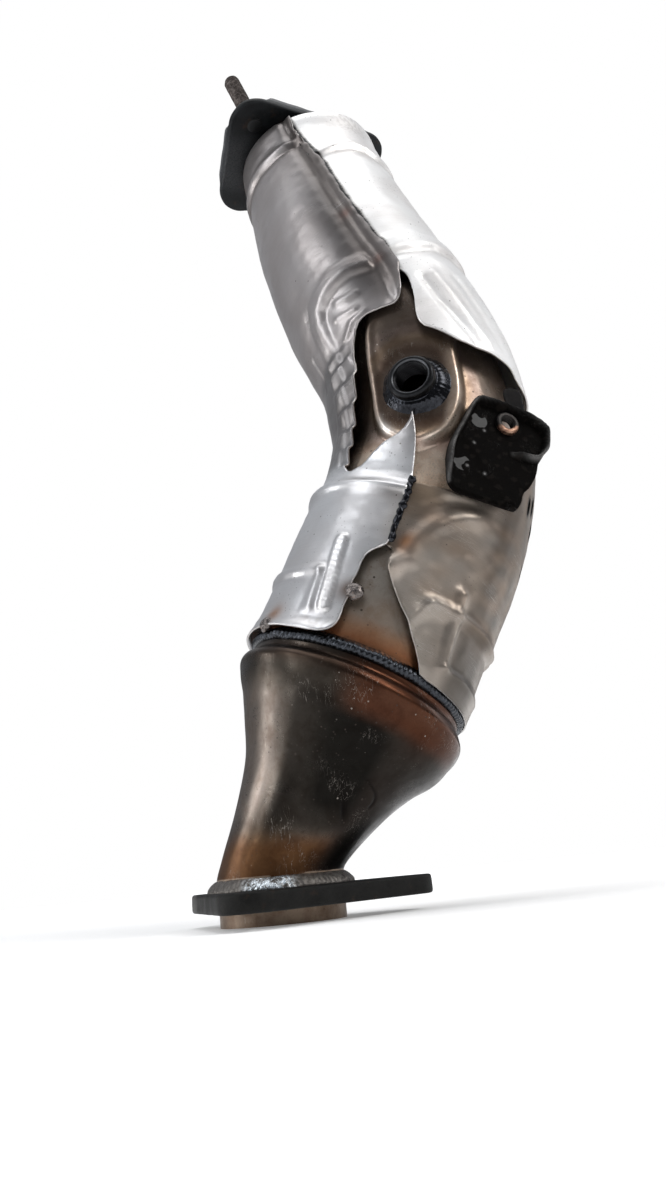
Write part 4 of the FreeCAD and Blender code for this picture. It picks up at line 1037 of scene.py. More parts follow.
bx, by, bz = basis(BD)
NB = 168
bead_v = []
rng = np.random.RandomState(7)
ripple = waves3(np.stack([np.cos(np.arange(NB) / NB * 6.2832), np.sin(np.arange(NB) / NB * 6.2832), np.zeros(NB)], 1) * 14, 9, 55)
for k in range(NB):
    t = 2 * math.pi * k / NB
    e = bx * math.cos(t) + by * math.sin(t)
    side = math.cos(t - math.atan2(by @ A(0.8, 0, -0.6), bx @ A(0.8, 0, -0.6)))     # fuller at the lower right
    r1 = 17.0 + 1.2 * max(0, side) + 0.45 * ripple[k] + 0.10 * math.sin(t * 31)

    def foot(r):
        lo_h, hi_h = -16.0, -1.0
        for _ in range(12):
            mid = (lo_h + hi_h) / 2
            if elbow_gap(BC + e * r + bz * mid) > 0:
                hi_h = mid
            else:
                lo_h = mid
        return (lo_h + hi_h) / 2
    h1 = foot(r1); h0 = foot(12.2)
    top = min(h0 + 4.0 + 0.5 * ripple[k] + 0.8 * max(0, side), -2.6)
    row_ = [(r1 + 1.2, h1 - 0.9)]
    for j in range(13):
        u = j / 12
        r_ = r1 + (12.0 - r1) * u
        hb = h1 + (h0 - h1) * u
        bulge = (top - h0) * (u ** 1.6) + 1.75 * math.sin(math.pi * min(1, u * 1.08)) * (0.75 + 0.25 * side)
        step_ = 0.07 * math.sin(t * 38 + 2.2 * u) * math.sin(math.pi * u)
        row_.append((r_, hb + bulge + step_))
    row_ += [(11.6, top - 0.5), (11.6, h0 - 1.5), (r1 - 0.5, h1 - 1.6)]
    bead_v += [BC + e * r_ + bz * h_ for r_, h_ in row_]
nrow = len(row_)
make("sensor_boss_bead", bead_v, [q[::-1] for q in grid(NB, nrow, True, True)][::1], slot="weld_metal", replaces=["boss_weld"], mats=[GLOSS_WELD])


# ---------------------------------------------------------------- weld round the lower can
def ring_bump(TH, R, H):
    out = R > 53.2
    seed = np.stack([np.cos(TH) * 55, np.sin(TH) * 55, H], -1).reshape(-1, 3)
    big = waves3(seed, 16, 61).reshape(TH.shape); sm = waves3(seed, 4.0, 62).reshape(TH.shape)
    chev = np.sin(TH * 132 + ((H - 3.0) / 3.0) ** 2 * 2.2 + 0.8 * big)
    dr = np.where(out, 0.30 * big + 0.16 * sm + 0.20 * chev, 0.0)
    dh = np.where(out, 0.45 * big, 0.0)
    return dr, dh


rp = [(52.8, -0.6), (54.3, -0.75), (55.3, -0.35), (56.0, 0.3), (56.4, 1.1), (56.5, 1.9), (56.4, 2.7), (56.0, 3.5), (55.4, 4.3),
      (54.7, 5.0), (54.0, 5.6), (53.4, 6.1), (52.8, 6.4), (52.6, 5.0), (52.6, 3.0), (52.6, 1.0)]
turned("ring_weld_bead", PL, DL, rp, n=1056, bump=ring_bump, slot="weld_metal", replaces=["ring_weld"], mats=[WELD_MAT])

fp = [(30.0, 8.4), (34.9, 8.6), (35.0, 9.2), (34.7, 10.1), (34.1, 11.0), (33.3, 12.0), (32.4, 12.9), (31.5, 13.6), (30.7, 14.1), (30.0, 14.5), (29.9, 12.0), (29.9, 10.0)]


def foot_bump(TH, R, H):
    out = (R > 30.3) & (H > 8.7)
    seed = np.stack([np.cos(TH) * 32, np.sin(TH) * 32, H], -1).reshape(-1, 3)
    big = waves3(seed, 12, 63).reshape(TH.shape); sm = waves3(seed, 3.0, 64).reshape(TH.shape)
    chev = np.sin(TH * 82 + ((H - 11.5) / 2.5) * 1.2 + big)
    w = np.clip((H - 8.7) / 1.5, 0, 1)
    return np.where(out, (0.35 * big + 0.14 * sm + 0.16 * chev) * w, 0.0), np.where(out, (0.3 * big) * w, 0.0)


FOOTWELD = Mat("foot_weld_bead")
_m = FOOTWELD
_g = _m.noise(_m.pos, 0.45, 5, 0.7, 0.5)
_f = _m.noise(_m.pos, 2.4, 4, 0.7)
_near = _m.math_vec("DISTANCE", _m.pos, (-3.0, -33.0, 11.8))
_clean = _m.math("MULTIPLY", _m.math("SUBTRACT", 1.0, _m.mask(_near, 7.0, 15.0)), _m.mask(_g, 0.40, 0.56))
_c = _m.ramp(_g, [(0.35, (0.075, 0.068, 0.062)), (0.62, (0.20, 0.185, 0.17))])
_c = _m.mix(_clean, _c, _m.ramp(_f, [(0.35, (0.30, 0.36, 0.42)), (0.6, (0.86, 0.92, 0.96))]))
_m.out(_c, _m.math("SUBTRACT", 0.46, _m.math("MULTIPLY", _clean, 0.26)), 0.85, _m.bump(_m.math("ADD", _g, _m.math("MULTIPLY", _f, 0.6)), 0.6, 0.3))
turned("lower_flange_bead", (0, 0, 0), (0, 0, 1), fp, n=656, bump=foot_bump, slot="weld_metal", replaces=["lower_flange_weld"], mats=[FOOTWELD.m])


# ---------------------------------------------------------------- chain of weld blobs, tacks
cs = np.array([p[0] for p in CHAIN]); cp = np.array([p[1] for p in CHAIN])
ss = np.linspace(278.5, 323.0, 210)
pp = np.interp(ss, cs, cp) - 0.6
beat = np.abs(np.sin((ss - 278.5) / 44.5 * math.pi * 9.0)) ** 0.6
beat = beat * (0.55 + 0.45 * waves(np.stack([ss, pp], 1), 13, 73)) + 0.25
rad = (1.05 + 0.95 * beat + 0.30 * waves(np.stack([ss, pp], 1), 8, 71)) * smooth((ss - 278.0) / 2.0) ** 0.5 * smooth((323.6 - ss) / 2.0) ** 0.5
path = SKIN.point(ss, pp, 0.25 + 0.15 * beat)
ups = unit_rows = SKIN.point(ss, pp, 5.0) - SKIN.point(ss, pp, 0.0)
side_w = 0.35 * waves(np.stack([ss, pp * 0], 1), 7, 72)
path = path + (SKIN.point(ss, pp + 1.0, 0.0) - SKIN.point(ss, pp, 0.0)) * side_w[:, None]


def chain_bump(i, th):
    return 0.14 * np.sin(3 * th + ss[i] * 1.1) + 0.10 * np.sin(5 * th - ss[i] * 0.7)


tube_along("chain_weld_bead", path, rad, n=22, up=[u for u in ups], flat=0.85, bump=chain_bump, slot="weld_metal", mats=[GLOSS_WELD])


def tack(name, s0, p0, r, h, seed, spine, lift, mat, replaces=()):
    c0 = spine.point(np.array([s0]), np.array([p0]), lift)[0]
    n0 = unit(spine.point(np.array([s0]), np.array([p0]), 10.0)[0] - spine.point(np.array([s0]), np.array([p0]), 0.0)[0])
    pr_ = [(r * math.sin(a) ** 0.85 if a > 0 else 0.02, h * math.cos(a) - 0.3) for a in np.linspace(0, math.pi / 2, 18)][::-1]
    pr_ = [(0.02, -1.2), (r * 0.7, -1.2), (r * 1.0, -0.9)] + pr_

    def bump(TH, R, H):
        q = np.stack([R * np.cos(TH), R * np.sin(TH), H], -1).reshape(-1, 3)
        w = waves3(q, r * 1.1, seed).reshape(TH.shape); w2 = waves3(q, r * 0.4, seed + 1).reshape(TH.shape)
        return (0.16 * w + 0.05 * w2) * R, (0.14 * w + 0.06 * w2) * h * np.clip(1 - R / (r * 1.4), 0, 1)
    return turned(name, c0, n0, pr_, n=72, bump=bump, slot="weld_metal", replaces=list(replaces), mats=[mat])


tack("front_tack_bead", 351.8, 14.4, 4.3, 3.0, 81, SKIN, 0.2, TACK_MAT, ["shield_tack_front"])
tack("left_tack_bead", 375.0, 56.4, 3.6, 3.0, 83, SKIN, 0.3, TACK_MAT, ["shield_tack_left"])


# ---------------------------------------------------------------- outlet cone
class Rings(Spine):
    """A spine whose sections face a stated direction (rows: x, y, z, radius, direction)."""

    def __init__(self, rows, n=16, front=(0, -1, 0)):
        S = catmull(rows, n)
        self.C = S[:, :3]; self.R = S[:, 3]
        T = -S[:, 4:7]; T /= np.linalg.norm(T, axis=1)[:, None]
        self.T = T
        self.S = np.r_[0, np.cumsum(np.linalg.norm(np.diff(self.C, axis=0), axis=1))]
        f = np.array(front, float)
        U = f - (T @ f)[:, None] * T
        self.U = U / np.linalg.norm(U, axis=1)[:, None]
        self.V = np.cross(self.T, self.U)


CONE = Rings([(*PL, 54.5, *DL), (*(PL - DL * 4), 54.7, *DL), (40.3, 5.2, 93.4, 57.6, *DL), (38.6, 4.3, 86.6, 57.6, *DL),
              (33.5, 1.8, 71.6, 50.0, .415, .14, .899), (27, .8, 58.6, 41.8, .325, .108, .94), (19, .2, 45.6, 36.8, .213, .072, .974),
              (10.5, 0, 32.6, 33.4, .115, .038, .993), (3.6, 0, 22, 31.1, .045, .015, .999), (0, 0, 15, 30.25, 0, 0, 1), (0, 0, 9, 30.25, 0, 0, 1)])
cn_s, cn_p = 148, 296
cs_ = np.linspace(0.6, CONE.S[-1] - 0.2, cn_s); cp_ = np.arange(cn_p) / cn_p * 360 - 180
SG, PG = np.meshgrid(cs_, cp_, indexing="ij")
sg = SG.ravel(); pg = PG.ravel()


def wrap(d):
    return (d + 180) % 360 - 180


def cblob(s0, p0, rs, rp, lean=0.0):
    u = sg - s0; v = wrap(pg - p0)
    v = v + lean * u
    return np.exp(-(u / rs) ** 2 - (v / rp) ** 2)


ang = np.radians(pg)
w3 = np.stack([np.cos(ang) * 42, np.sin(ang) * 42, sg], 1)
crel = 0.16 * waves3(w3, 36, 91) + 0.06 * waves3(w3, 11, 92)
crel += 0.5 * np.exp(-((sg - 9.5) / 2.6) ** 2) - 0.35 * np.exp(-((sg - 21.5) / 3.4) ** 2)          # shoulder bead and the neck below it
crel -= 1.3 * np.exp(-(((sg - 65.0) / 5.4) ** 2 + ((wrap(pg + 28 - (sg - 65) * -1.0)) / 2.6) ** 2))    # oval dent
crel += 0.30 * np.exp(-(((sg - 65.0) / 6.8) ** 2 + ((wrap(pg + 31.5 - (sg - 65) * -1.0)) / 2.2) ** 2))
sc_line = np.abs(wrap(pg + 29 + (sg - 48.9) * 1.45 + 6.0 * np.sin((sg - 48.9) / 12.5 * math.pi)))
crel -= 0.42 * np.exp(-(sc_line / 1.2) ** 2) * smooth((sg - 46.5) / 3) * (1 - smooth((sg - 60.5) / 3))
nick = np.abs(wrap(pg - 4 + (sg - 69.4) * 0.6))
crel -= 0.28 * np.exp(-(nick / 0.9) ** 2) * smooth((sg - 67.5) / 3) * (1 - smooth((sg - 76) / 3))
cc = col((0.335, 0.285, 0.24), len(sg))
# painted highlight band on the shoulder bulge, over its bronze tone
cc = blend(cc, (0.40, 0.335, 0.27), 0.7 * np.exp(-((sg - 15.5) / 6.0) ** 2))
cc = blend(cc, (0.36, 0.305, 0.27), 0.6 * smooth((wrap(pg) - 28) / 15) * smooth((sg - 20) / 10) * (1 - smooth((sg - 78) / 10)))
cc = blend(cc, (0.42, 0.20, 0.10), 0.90 * np.exp(-((sg - 7.0) / 4.6) ** 2) * (0.55 + 0.45 * smooth((-wrap(pg) + 20) / 50)))
cc = blend(cc, (0.36, 0.15, 0.085), 0.60 * cblob(24, -44, 8, 14))
# painted shade and painted dark reflection: darker right side, a near-black stripe down the middle and a dark patch
# beside it
cc = blend(cc, (0.25, 0.18, 0.155), 0.55 * smooth((-wrap(pg) - 22) / 14) * smooth((sg - 36) / 12))
cc = blend(cc, (0.060, 0.055, 0.045), 0.88 * np.clip(1.25 * np.exp(-((wrap(pg + 12 + (sg - 45) * 0.25)) / 19.0) ** 4) * smooth((sg - 20) / 10) * (1 - smooth((sg - 58) / 17)), 0, 1))
cc = blend(cc, (0.11, 0.10, 0.08), 0.55 * cblob(40, 8, 18, 9))
cc = blend(cc, (0.36, 0.17, 0.085), 0.88 * smooth((sg - 74) / 12) * smooth((wrap(pg) + 52) / 25))
cc = blend(cc, (0.40, 0.25, 0.13), 0.5 * cblob(80, 26, 8, 24))
# painted shade: the right side darker, lower down and along its length
cc = blend(cc, (0.07, 0.055, 0.047), 0.85 * smooth((-wrap(pg) - 40) / 14) * smooth((sg - 66) / 10))
cc = blend(cc, (0.10, 0.08, 0.07), 0.7 * smooth((-wrap(pg) - 58) / 12) * smooth((sg - 26) / 14))
cc = blend(cc, (0.13, 0.075, 0.05), 0.75 * smooth((sg - 92) / 6))
# painted shade in the dent, and below along the scratch groove
dent_shade = np.exp(-(((sg - 65.0) / 6.0) ** 2 + ((wrap(pg + 28 - (sg - 65) * -1.0)) / 3.2) ** 2))
cc = blend(cc, (0.07, 0.05, 0.04), 0.75 * dent_shade)
cc = blend(cc, (0.09, 0.06, 0.05), 0.8 * np.exp(-(sc_line / 1.3) ** 2) * smooth((sg - 46.5) / 3) * (1 - smooth((sg - 60.5) / 3)))
cc = blend(cc, (0.10, 0.06, 0.04), 0.45 * (waves3(w3, 5.0, 93) > 0.62) * smooth((sg - 70) / 10))
# painted light and shade: the cone is darkened all over, less on its left side and at the top, with a painted highlight
# patch on the left and a lighter lower band
lft = smooth((wrap(pg) - 26) / 16)
cone_light_and_shade = 0.085 + 0.44 * lft * smooth((sg - 14) / 14) * (1 - 0.50 * smooth((sg - 66) / 12)) + 0.05 * (1 - smooth((sg - 12) / 8)) + 0.60 * cblob(58, 40, 11, 8) + 0.16 * smooth((sg - 72) / 10) * smooth((wrap(pg) + 48) / 20)
cc = cc * np.clip(cone_light_and_shade, 0.07, 1)[:, None]
cc = blend(cc, (0.085, 0.026, 0.010), 0.65 * smooth((-wrap(pg) + 12) / 20) * (1 - smooth((sg - 20) / 9)) * smooth((wrap(pg) + 92) / 20))
cc = blend(cc, (0.105, 0.048, 0.018), 0.70 * smooth((sg - 76) / 10) * smooth((wrap(pg) + 40) / 24))
# painted shade: the dent and the scratch groove darkened again to near black
cc = blend(cc, (0.004, 0.003, 0.0025), 0.9 * np.exp(-(((sg - 65.0) / 5.2) ** 2 + ((wrap(pg + 28 - (sg - 65) * -1.0)) / 2.6) ** 2)))
cc = blend(cc, (0.004, 0.003, 0.0025), 0.85 * np.exp(-(sc_line / 1.1) ** 2) * smooth((sg - 47) / 3) * (1 - smooth((sg - 60.5) / 3)))
cc = np.clip(cc, 0, 1)
CONE_MAT = tinted_steel("cone_steel_skin", 0.34, 0.35)
cv = CONE.point(sg, pg, crel)
cf = grid(cn_s, cn_p, False, True)
t0 = cv[list(cf[5])]
if np.cross(t0[1] - t0[0], t0[2] - t0[1]) @ (t0[0] - CONE.C[0]) < 0:
    cf = [q[::-1] for q in cf]
ob = make("outlet_cone_skin", cv, cf, slot="cone_steel", replaces=["outlet_reducer", "lower_cone"], mats=[CONE_MAT],
          attrs={"tint": np.c_[cc, np.ones(len(cc))], "rough": 0.33 + 0.06 * waves3(w3, 24, 94) + 0.08 * smooth((sg - 80) / 10),
                 "metal": np.full(len(cc), 0.92)})
thicken(ob, 1.5, -1.0)


# ---------------------------------------------------------------- flanges
def hull(lobes, n=168, step=2.2):
    """Outline of discs joined by straight sides: points and outward normals."""
    C2 = np.array([(x, y) for x, y, r in lobes], float); R2 = np.array([r for x, y, r in lobes], float)
    th = np.arange(n) / n * 2 * math.pi
    N = np.stack([np.cos(th), np.sin(th)], 1)
    idx = np.argmax(N @ C2.T + R2[None, :], axis=1)
    pts = C2[idx] + R2[idx][:, None] * N
    P, Q = [], []
    for k in range(n):
        a, b = pts[k], pts[(k + 1) % n]
        P.append(a); Q.append(N[k])
        gap = np.linalg.norm(b - a)
        if gap > step * 1.5:
            m = int(round(gap / step))
            nn = unit(N[k] + N[(k + 1) % n])
            for j in range(1, m):
                P.append(a + (b - a) * j / m); Q.append(nn)
    return np.array(P), np.array(Q)


def slab(name, lobes, rings, top_z, low_z, place, holes, step=4.0, lump=0.12, seed=1, cham=0.5, **kw):
    """A plate: its edge from rings (inset, z) per outline point, flat faces with round holes, walls in the holes."""
    P, Q = hull(lobes)
    n = len(P)
    along = np.r_[0, np.cumsum(np.linalg.norm(np.diff(P, axis=0), axis=1))]
    lumps = waves(np.stack([along, along * 0], 1), 17, seed) * lump
    rg = rings(P, Q)                       # list of (inset array, z array)
    V = []; F = []
    for d, z in rg:
        q = P + Q * (lumps - d)[:, None]
        V += [place(x, y, zz) for (x, y), zz in zip(q, z)]
    m = len(rg)
    for i in range(m - 1):
        for j in range(n):
            a = i * n + j; b = i * n + (j + 1) % n
            F.append((a, b, b + n, a + n))
    for face, z, ring, flip in (("low", low_z, 0, True), ("top", top_z, m - 1, False)):
        d, zz = rg[ring]
        rim = P + Q * (lumps - d)[:, None]
        loops = [np.array([(x + (r + cham) * math.cos(t), y + (r + cham) * math.sin(t)) for t in np.arange(48) / 48 * 2 * math.pi])
                 for x, y, r in holes]
        co, tri = flat_mesh(rim, step, holes=loops)
        base = len(V)
        V += [place(x, y, z) for x, y in co]
        for t in tri:
            t = tuple(base + i for i in t)
            F.append(t[::-1] if flip else t)
    for x, y, r in holes:
        base = len(V); prof = [(r + cham, low_z), (r, low_z + cham), (r, (low_z + top_z) / 2), (r, top_z - cham), (r + cham, top_z)]
        for rr, z in prof:
            V += [place(x + rr * math.cos(t), y + rr * math.sin(t), z) for t in np.arange(48) / 48 * 2 * math.pi]
        for i in range(4):
            for j in range(48):
                a = base + i * 48 + j; b = base + i * 48 + (j + 1) % 48
                F.append((a, a + 48, b + 48, b))
    ob = make(name, V, F, sharp=35, **kw)
    import bmesh
    bm = bmesh.new(); bm.from_mesh(ob.data)
    bmesh.ops.remove_doubles(bm, verts=bm.verts, dist=2e-6)
    bmesh.ops.recalc_face_normals(bm, faces=bm.faces)
    bm.to_mesh(ob.data); bm.free()
    ob.data.set_sharp_from_angle(angle=math.radians(35))
    return ob


def cast_iron(name, lo, hi, pale, pale_at, rough=0.6, lip=None):
    m = Mat(name)
    g = m.noise(m.pos, 0.16, 5, 0.65, 0.3); f = m.noise(m.pos, 1.7, 5, 0.72)
    c = m.ramp(m.math("ADD", m.math("MULTIPLY", g, 0.6), m.math("MULTIPLY", f, 0.4)), [(0.34, lo), (0.66, hi)])
    w = m.math("SUBTRACT", 1.0, m.mask(m.math_vec("DISTANCE", m.pos, pale_at), 12.0, 26.0))
    c = m.mix(m.math("MULTIPLY", w, m.mask(f, 0.3, 0.7)), c, pale)
    if lip is not None:                  # the turned-up lip is painted grey: a painted highlight along it
        t = m.math_vec("DOT_PRODUCT", m.math_vec("SUBTRACT", m.pos, tuple(lip[0])), tuple(lip[1]))
        c = m.mix(m.math("MULTIPLY", m.mask(t, lip[2], lip[2] + 1.2), m.mask(f, 0.25, 0.6)), c, lip[3])
    pit = m.math("LESS_THAN", m.cells(m.pos, 0.5), 0.16)
    c = m.mix(m.math("MULTIPLY", pit, 0.5), c, tuple(k * 0.4 for k in lo))
    rust = m.mask(m.noise(m.pos, 0.11, 4, 0.7), 0.58, 0.72)
    c = m.mix(m.math("MULTIPLY", rust, 0.35), c, (0.05, 0.028, 0.017))
    st = m.noise(m.stretch(m.pos, (0.5, 0.5, 2.2)), 0.8, 3, 0.6)
    h = m.math("SUBTRACT", m.math("ADD", m.math("MULTIPLY", f, 0.7), m.math("MULTIPLY", st, 0.7)), m.math("MULTIPLY", pit, 0.6))
    return m.out(c, m.math("ADD", rough, m.math("MULTIPLY", m.math("SUBTRACT", g, 0.5), 0.3), clamp=True), 0.55, m.bump(h, 0.5, 0.25), Specular_IOR_Level=0.3)


IRON = cast_iron("flange_iron_scale", (0.0055, 0.0055, 0.0052), (0.017, 0.0165, 0.0155), (0.16, 0.158, 0.15), (-42, 30, 5))
LOWLOBES = [(-9.7, -50.0, 15.0), (56.0, 10.0, 16.0), (-34.5, 31.0, 13.0)]


def low_rings(P, Q):
    n = len(P); one = np.ones(n)
    prof = [(1.5, 0.0), (0.9, 0.08), (0.42, 0.4), (0.1, 0.95), (0.0, 1.7), (0.0, 4.4), (0.05, 7.2), (0.2, 8.1), (0.6, 8.7), (1.1, 8.93), (1.8, 9.0)]
    return [(one * d, one * z) for d, z in prof]


slab("lower_flange_cast", LOWLOBES, low_rings, 9.0, 0.0, lambda x, y, z: A(x, y, z),
     [(-9.7, -50.0, 5.5), (56.0, 10.0, 5.5), (-34.5, 31.0, 5.5), (0.0, 0.0, 30.25)], step=5.0, lump=0.22, seed=101,
     slot="outlet_flange_iron", replaces=["lower_flange"], mats=[IRON])


def uf(x, y, z):
    return FC + FX * x + FY * y + FN * z


BLACK = cast_iron("inlet_flange_black_scale", (0.004, 0.0046, 0.0052), (0.014, 0.0152, 0.017), (0.05, 0.052, 0.055), tuple(uf(-40, -10, 6)), 0.5, (FC, FN, 4.4, (0.10, 0.104, 0.108)))
UPLOBES = [(-38.0, 9.8, 16.0), (-26.1, -33.2, 16.0), (41.3, 8.5, 16.0), (2.0, 20.0, 16.0)]


def up_rings(P, Q):
    """Edge profile; the lip stands only along two sides."""
    n = len(P)
    lo = np.zeros(n)
    for i, j in ((0, 1), (1, 2)):
        a = np.array(UPLOBES[i][:2]); b = np.array(UPLOBES[j][:2]); d = unit(b - a)
        nn = np.array([d[1], -d[0]])
        if nn @ (np.array([2.0, 0.0]) - a) > 0:
            nn = -nn
        t = (P - a) @ d; L = np.linalg.norm(b - a)
        on = (Q @ nn > 0.985)
        h = smooth((t - 1.0) / 7.0) * smooth((L - 1.0 - t) / 7.0)
        lo = np.maximum(lo, np.where(on, h, 0))
    h = lo * 5.0
    one = np.ones(n)
    base = [(1.4, 0.0), (0.75, 0.1), (0.3, 0.4), (0.05, 1.0), (0.0, 1.9), (0.0, 2.9)]
    out = [(one * d, one * z) for d, z in base]
    out += [(0.05 * one, 3.4 + h * 0.86), (0.3 * one, 3.8 + h * 0.95), (0.8 * one, 4.0 + h), (1.5 * one, 4.0 + h), (2.1 * one, 4.0 + h * 0.96),
            (2.45 * one, 4.0 + h * 0.82), (2.6 * one, 4.0 + h * 0.45), (2.8 * one, 4.0 + h * 0.15), (3.4 * one, 4.0 * one), (4.4 * one, 4.0 * one)]
    return out


slab("upper_flange_pressed", UPLOBES, up_rings, 4.0, 0.0, uf,
     [(41.3, 8.5, 5.5), (0.0, 0.0, 25.4)], step=5.0, lump=0.25, seed=103,
     slot="inlet_flange_black", replaces=["upper_flange"], mats=[BLACK])

# the stud: worn shank, rusty rolled thread, rounded tip
STUD = Mat("stud_rusty_steel")
_m = STUD
_ax = _m.math_vec("DOT_PRODUCT", _m.math_vec("SUBTRACT", _m.pos, tuple(FC)), tuple(FN))
_g = _m.noise(_m.pos, 0.5, 4, 0.7, 0.4); _f = _m.noise(_m.pos, 2.6, 4, 0.7)
_c = _m.ramp(_g, [(0.34, (0.016, 0.012, 0.010)), (0.5, (0.050, 0.040, 0.036)), (0.7, (0.17, 0.145, 0.135))])
_sh = _m.math("MULTIPLY", _m.mask(_ax, 3.5, 5.0), _m.math("SUBTRACT", 1.0, _m.mask(_ax, 14.5, 17.5)))
_c = _m.mix(_sh, _c, _m.ramp(_f, [(0.3, (0.13, 0.13, 0.13)), (0.7, (0.42, 0.42, 0.42))]))
_c = _m.mix(_m.math("SUBTRACT", 1.0, _m.mask(_ax, 0.6, 2.4)), _c, (0.006, 0.0065, 0.007))
_m.out(_c, _m.math("SUBTRACT", 0.55, _m.math("MULTIPLY", _sh, 0.28)), _m.math("ADD", 0.6, _m.math("MULTIPLY", _sh, 0.35)), _m.bump(_f, 0.5, 0.15))
lo_, hi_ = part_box("upper_stud")
s0 = uf(-26.1, -33.2, 0.0)
tt = [float((np.array(c) / MM - s0) @ FN) for c in [v.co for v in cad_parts["upper_stud"].data.vertices]]
ta, tb = min(tt), max(tt)
sp = [(0.02, ta), (3.6, ta), (4.4, ta + 0.4), (4.7, ta + 1.0)]
hs = np.arange(ta + 1.4, tb - 2.2, 0.17)
for h in hs:
    sp.append((4.55 if h < 16.2 else 4.72, h))
sp += [(4.6, tb - 2.0), (4.3, tb - 1.3), (3.9, tb - 0.7), (3.2, tb - 0.22), (2.2, tb - 0.03), (0.02, tb)]


def stud_thread(TH, R, H):
    ph = (H / 1.5 + TH / (2 * math.pi)) % 1.0
    saw = np.abs(ph - 0.5) * 2
    on = smooth((H - 16.0) / 2.0) * smooth((tb - 1.0 - H) / 1.5) + smooth((3.8 - H) / 1.5)
    body_ = (R > 4.0)
    q = np.stack([R * np.cos(TH), R * np.sin(TH), H], -1).reshape(-1, 3)
    w = waves3(q, 3.0, 111).reshape(TH.shape)
    return np.where(body_, (0.28 - 0.72 * saw) * np.clip(on, 0, 1) * 0.9 + 0.05 * w, 0), 0.0 * H


turned("inlet_stud_threaded", s0, FN, sp, n=72, closed=False, bump=stud_thread, slot="stud_steel", replaces=["upper_stud"], mats=[STUD.m], sharp=60)


# ---------------------------------------------------------------- bracket
def bk(x, y, z=0.0):
    return KO + KX * x + KY * y + KN * z


PLATE = [(4.8, 30.6), (1.2, 27.8), (-6.8, 16.2), (-14.1, 6.7), (-17.6, 0), (-19.8, -6), (-22.6, -22.6), (-8, -27.6), (8.9, -33.4), (12.1, -33.8),
         (15.6, -30), (18.9, -23.1), (23, -20.8), (29.3, -12.9), (33, -3.8), (38.5, 0.8), (40.5, 5.8), (42.5, 12.7), (42.4, 14.5), (38.7, 18.6),
         (32.7, 22.8), (19.8, 27.9), (7.9, 31.5)]
RIM = [(-22.2, -18), (-19.8, -6), (-17.6, 0), (-14.1, 6.7), (-6.8, 16.2), (1.2, 27.8), (4.8, 30.6), (7.9, 31.5), (19.8, 27.9), (32.7, 22.8),
       (38.7, 18.6), (42.4, 14.5), (42.5, 12.7), (40.5, 5.8), (38.5, 0.8), (33, -3.8), (28.2, -4.1), (25, -3.1), (18.4, -1.7)]


def closed_soft(L, times):
    L = [np.array(p, float) for p in L]
    for _ in range(times):
        out = []
        for a, b in zip(L, L[1:] + L[:1]):
            out += [a * 0.78 + b * 0.22, a * 0.22 + b * 0.78]
        L = out
    return L


bo = resample(closed_soft(PLATE, 2), 0.9)
rimline = np.array(soften(RIM, 2))


def bracket_height(P):
    d, _, al = line_dist(P, rimline)
    oe, _, _ = line_dist(P, np.vstack([bo, bo[:1]]))
    ends = smooth(al / 0.09) * smooth((1 - al) / 0.05 + 0.35)
    tall = 5.0 - 1.4 * smooth((al - 0.82) / 0.12)
    inner = al > 0.87                                   # free inner end of the rim, not on the outline
    core = 1 - smooth((d - 1.2) / 2.0)
    core2 = 1 - smooth((d - 0.6) / 1.8)
    h = tall * ends * np.where(inner, core2, core)
    h = h * (0.72 + 0.28 * smooth(oe / 1.1)) - 0.5 * (1 - smooth(oe / 0.7)) * (h < 1.0)
    # soft press lines on the web and a dished ear round the nut
    h += 0.5 * np.exp(-((P[:, 0] + 2 + 0.35 * P[:, 1]) / 5.0) ** 2) * (1 - smooth((d - 30) / 1)) * (h < 1.5)
    r = np.hypot(P[:, 0] - 19.4, P[:, 1] - 16.6)
    h -= 0.35 * (1 - smooth((r - 8.5) / 3)) * (h < 2)
    h += 0.12 * waves(P, 14, 121) + 0.05 * waves(P, 5, 122)
    return h


co, tri = flat_mesh(bo, 0.85, holes=[np.array([(19.4 + 4.2 * math.cos(t), 16.6 + 4.2 * math.sin(t)) for t in np.arange(40) / 40 * 2 * math.pi])])
hh = bracket_height(co)
nb_ = len(co)
V = [bk(x, y, z) for (x, y), z in zip(co, hh)] + [bk(x, y, -2.5) for x, y in co]
F = [tuple(t) for t in tri] + [tuple(nb_ + i for i in t[::-1]) for t in tri]
cnt = {}
for t in tri:
    for a, b in ((t[0], t[1]), (t[1], t[2]), (t[2], t[0])):
        cnt[(a, b)] = 1
for (a, b) in list(cnt):
    if (b, a) not in cnt:
        F.append((b, a, nb_ + a, nb_ + b))
rim_wear_and_highlight = np.zeros(nb_)
d, _, al = line_dist(co, rimline)
oe, _, _ = line_dist(co, np.vstack([bo, bo[:1]]))
